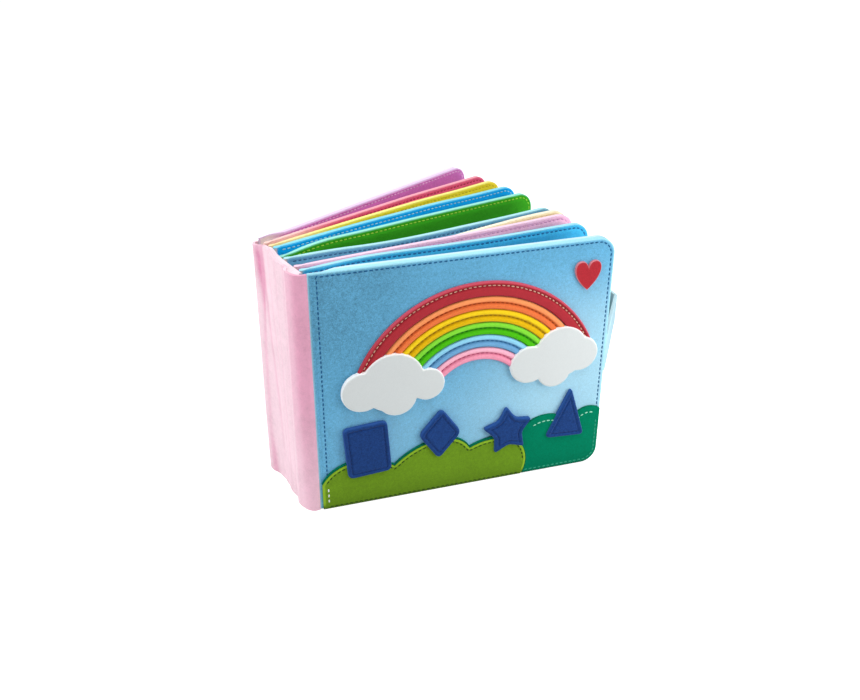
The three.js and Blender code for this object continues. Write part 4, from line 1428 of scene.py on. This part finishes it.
pink_plush = plush("pink_plush", "#f1d3de", "#dc80aa")
put_down(spine_cloth, spine_place, "spine", pink_plush, "pink_plush",
         ["spine_cloth_front", "spine_cloth_rear"], sharp=60)
print("spine laid")

# %% [markdown]
# ## The lining strip
# The page hems are sewn to a strip of lining behind the plush. It starts as the box of its
# solid. Its back follows the folded plush and fills the hollow, so that no gap shows between
# the two at the head, and its upper edge rises and dips with the plush.

# %% Lining strip behind the plush
clear_hands()
low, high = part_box("spine_lining")
bpy.ops.mesh.primitive_cube_add(size=1, location=(low + high) / 2)
strip = named(bpy.context.object, "spine_lining_strip")
strip.scale = high - low
bpy.ops.object.transform_apply(location=True, rotation=True, scale=True)
edit(strip)
bpy.ops.mesh.subdivide(number_cuts=48)
close_edit()
points = points_of(strip)
at_back = points[:, 0] < low.x / MM + 0.05
middle = np.array(spine_middle) / MM
x, y, z = (points - middle).T
y = y * np.where(at_back, 1 + 0.15 * ease((np.abs(y) - 22) / 8), 1)
depth = []
for fold_line in (FOLD_AT_FOOT, FOLD_AT_HEAD):
    line, _ = smooth_line(fold_line, np.linspace(0, 1, 240))
    line = line[np.argsort(line[:, 0])]
    depth.append(np.interp(y, line[:, 0], line[:, 1]))
cloth_x = depth[0] + (depth[1] - depth[0]) * ease(z / COVER_HEIGHT)
x = np.where(at_back, np.minimum(cloth_x + 0.9, x), x)
z = z + (head_of_spine(y) - COVER_HEIGHT) * ease((points[:, 2] - 120) / 60)
set_points(strip, np.stack([x, y, z], 1) + middle)
face_outwards(strip)
lining_cloth = felt("pink_lining", "#f6e0e9", contrast=0.1)
put_down(strip, Matrix.Identity(4), "spine", lining_cloth, "pink_lining", ["spine_lining"])
print("lining", [round(c, 4) for c in high - low])

# %% [markdown]
# ## The closing strap
# A felt strap is sewn between the layers of the front cover and laps round the closed book to
# a patch of loop tape on the back cover. It is one strip that narrows towards a rounded end,
# so it is drawn flat, divided across, and bent at its fold line. It bends between its two
# bodies, and a short tongue bends between the cover and the strap where it is sewn in.

# %% Strap strip
STRAP_X, STRAP_Z, STRAP_REST, STRAP_END_REST = 221.55, 94.0, 58.0, 34.0
STRAP_SIDE, STRAP_END, STRAP_HALF_WIDTH, STRAP_THICK = 76.8, 36.0, 16.0, 2.4
STRAP_TAPER, STRAP_ROUND, FOLD_REACH = 0.23, 9, 5.0
STRAP_EDGES = (STRAP_SIDE + STRAP_END, -STRAP_HALF_WIDTH, STRAP_HALF_WIDTH, STRAP_ROUND)
STRAP_CUTS = [*np.arange(4, 68, 4.0), *np.arange(68, 86, 1.2), *np.arange(87, 112, 4.0)]
strap_place = front_place @ shift(STRAP_X, COVER_MIDDLE, STRAP_Z) @ turned(STRAP_REST)
end_fold = math.radians(STRAP_END_REST)


def swung(x, y, angle):
    return x * np.cos(angle) - y * np.sin(angle), x * np.sin(angle) + y * np.cos(angle)


def strap_strip():
    strip = cut_felt("strap_strip", leaf_outline(0.2, *STRAP_EDGES, 10), STRAP_THICK)
    divide(strip, STRAP_CUTS, (-12, -6, 0, 6, 12))
    add_modifier(strip, "BEVEL", width=0.5 * MM, segments=3, limit_method="ANGLE",
                 angle_limit=math.radians(50))
    x, y, z = points_of(strip).T
    inside = from_edge(x, z, *STRAP_EDGES)
    beyond = x - STRAP_SIDE
    angle = end_fold * ease((beyond + FOLD_REACH) / (2 * FOLD_REACH))
    along, off = swung(beyond, y + STRAP_THICK / 2, angle)
    taper = 1 - STRAP_TAPER * ease((x - 25) / 50)
    set_points(strip, np.stack([STRAP_SIDE + along, off, z * taper], 1))
    # The cut edge is painted paler, as a highlight.
    carry_number(strip, "painted_edge_light", 1 - ease((inside - 0.1) / 0.6))
    face_outwards(strip)
    return strip


def strap_point(x, y=0.0):
    return strap_place @ (Vector((x, y, 0)) * MM)


strap = strap_strip()
strap_felt = felt("strap_felt", "#b4dcea", painted_edge_light="#c6e8f2", contrast=0.05)
put_down(strap, strap_place, None, strap_felt, "strap_felt", ["strap_side", "strap_end"])
past_fold = strap_point(STRAP_SIDE + FOLD_REACH * math.cos(end_fold),
                        FOLD_REACH * math.sin(end_fold))
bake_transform(strap, "strap_side", "strap_end", start=strap_point(STRAP_SIDE - FOLD_REACH),
         end=past_fold)
print("strap points", len(strap.data.vertices))

# %% Tongue
TONGUE_THICK = 1.7
tongue_line = [(-4.2, -15.4), (6.6, -15.4), (6.6, 15.4), (-4.2, 15.4)]
tongue = cut_felt("strap_tongue", tongue_line, TONGUE_THICK)
divide(tongue, np.arange(-3.4, 6, 0.8))
x, y, z = points_of(tongue).T
bend = -math.radians(STRAP_REST) * (1 - ease((x + 1.6) / 4.0))
x, y = swung(x, y + TONGUE_THICK / 2, bend)
set_points(tongue, np.stack([x, y, z], 1))
carry_number(tongue, "painted_edge_light", np.zeros(len(x)))
face_outwards(tongue)
put_down(tongue, strap_place, None, strap_felt, "strap_felt")
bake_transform(tongue, "front_cover", "strap_side", start=strap_point(-0.6, 0.9), end=strap_point(2.4))
print("tongue", len(tongue.data.vertices))

# %% [markdown]
# ## Fastening tape
# The strap closes with two patches of tape: fine hooks on the end of the strap and soft loops
# on the back cover. A pattern of cells stands for the hooks and loops, and each patch is sewn
# on close to its edge.

# %% Tape patches
TAPE_HALF_X, TAPE_HALF_Z, TAPE_THICK, TAPE_SEAM_IN = 12, 11, 1.2, 1.7
LOOP_X, LOOP_Y = 203.55, 1.0
HOOK_X, HOOK_Y = 18, 1.25


def tape(name, code, spots, depth):
    finish, tree, shader = new_finish(name)
    where = node(tree, "TexCoord", {}).outputs["Object"]
    dots = node(tree, "TexVoronoi", {"Vector": where, "Scale": spots}).outputs["Distance"]
    lint = speckle(tree, 300, 3.0)
    mixed = weigh(tree, [(dots, 0.6), (lint, 0.4)])
    colour = tones(tree, mixed, [(0.2, shade(code, 1.05)), (0.7, shade(code, 0.8))])
    tree.links.new(colour, shader.inputs["Base Color"])
    roughen(tree, shader, mixed, 0.7, depth, 0.6, 0.9)
    return finish


loop_place = back_place @ shift(LOOP_X, LOOP_Y, STRAP_Z)
strap_end_place = strap_place @ shift(STRAP_SIDE, 0, 0) @ turned(STRAP_END_REST)
hook_place = strap_end_place @ shift(HOOK_X, HOOK_Y, 0)
for word, place, body, under, code, spots, depth in (
    ("loop", loop_place, "back_cover", "back_cover_outer_felt", "#dfe9f2", 700, 0.0008),
    ("hook", hook_place, "strap_end", "strap_end", "#d6e2ea", 1100, 0.0006),
):
    slot = f"{word}_tape"
    patch = cut_felt(f"{slot}_patch", softened(rectangle(TAPE_HALF_X, TAPE_HALF_Z), 3),
                     TAPE_THICK)
    round_over(patch, TAPE_THICK, 0.3)
    set_points(patch, points_of(patch) * (1, -1, 1))
    face_outwards(patch)
    finish = tape(slot, code, spots, depth)
    put_down(patch, place, body, finish, slot, [f"strap_{word}_patch"])
    line = softened(rectangle(TAPE_HALF_X - TAPE_SEAM_IN, TAPE_HALF_Z - TAPE_SEAM_IN), 2)
    path = [(x, TAPE_THICK - 0.02, z) for x, z in line]
    sew(f"{slot}_seam", path, (0, 1, 0), white_thread, place, body, slot,
        step=2.6, length=1.8, width=0.6, rise=0.25, closed=True)
print("patches made")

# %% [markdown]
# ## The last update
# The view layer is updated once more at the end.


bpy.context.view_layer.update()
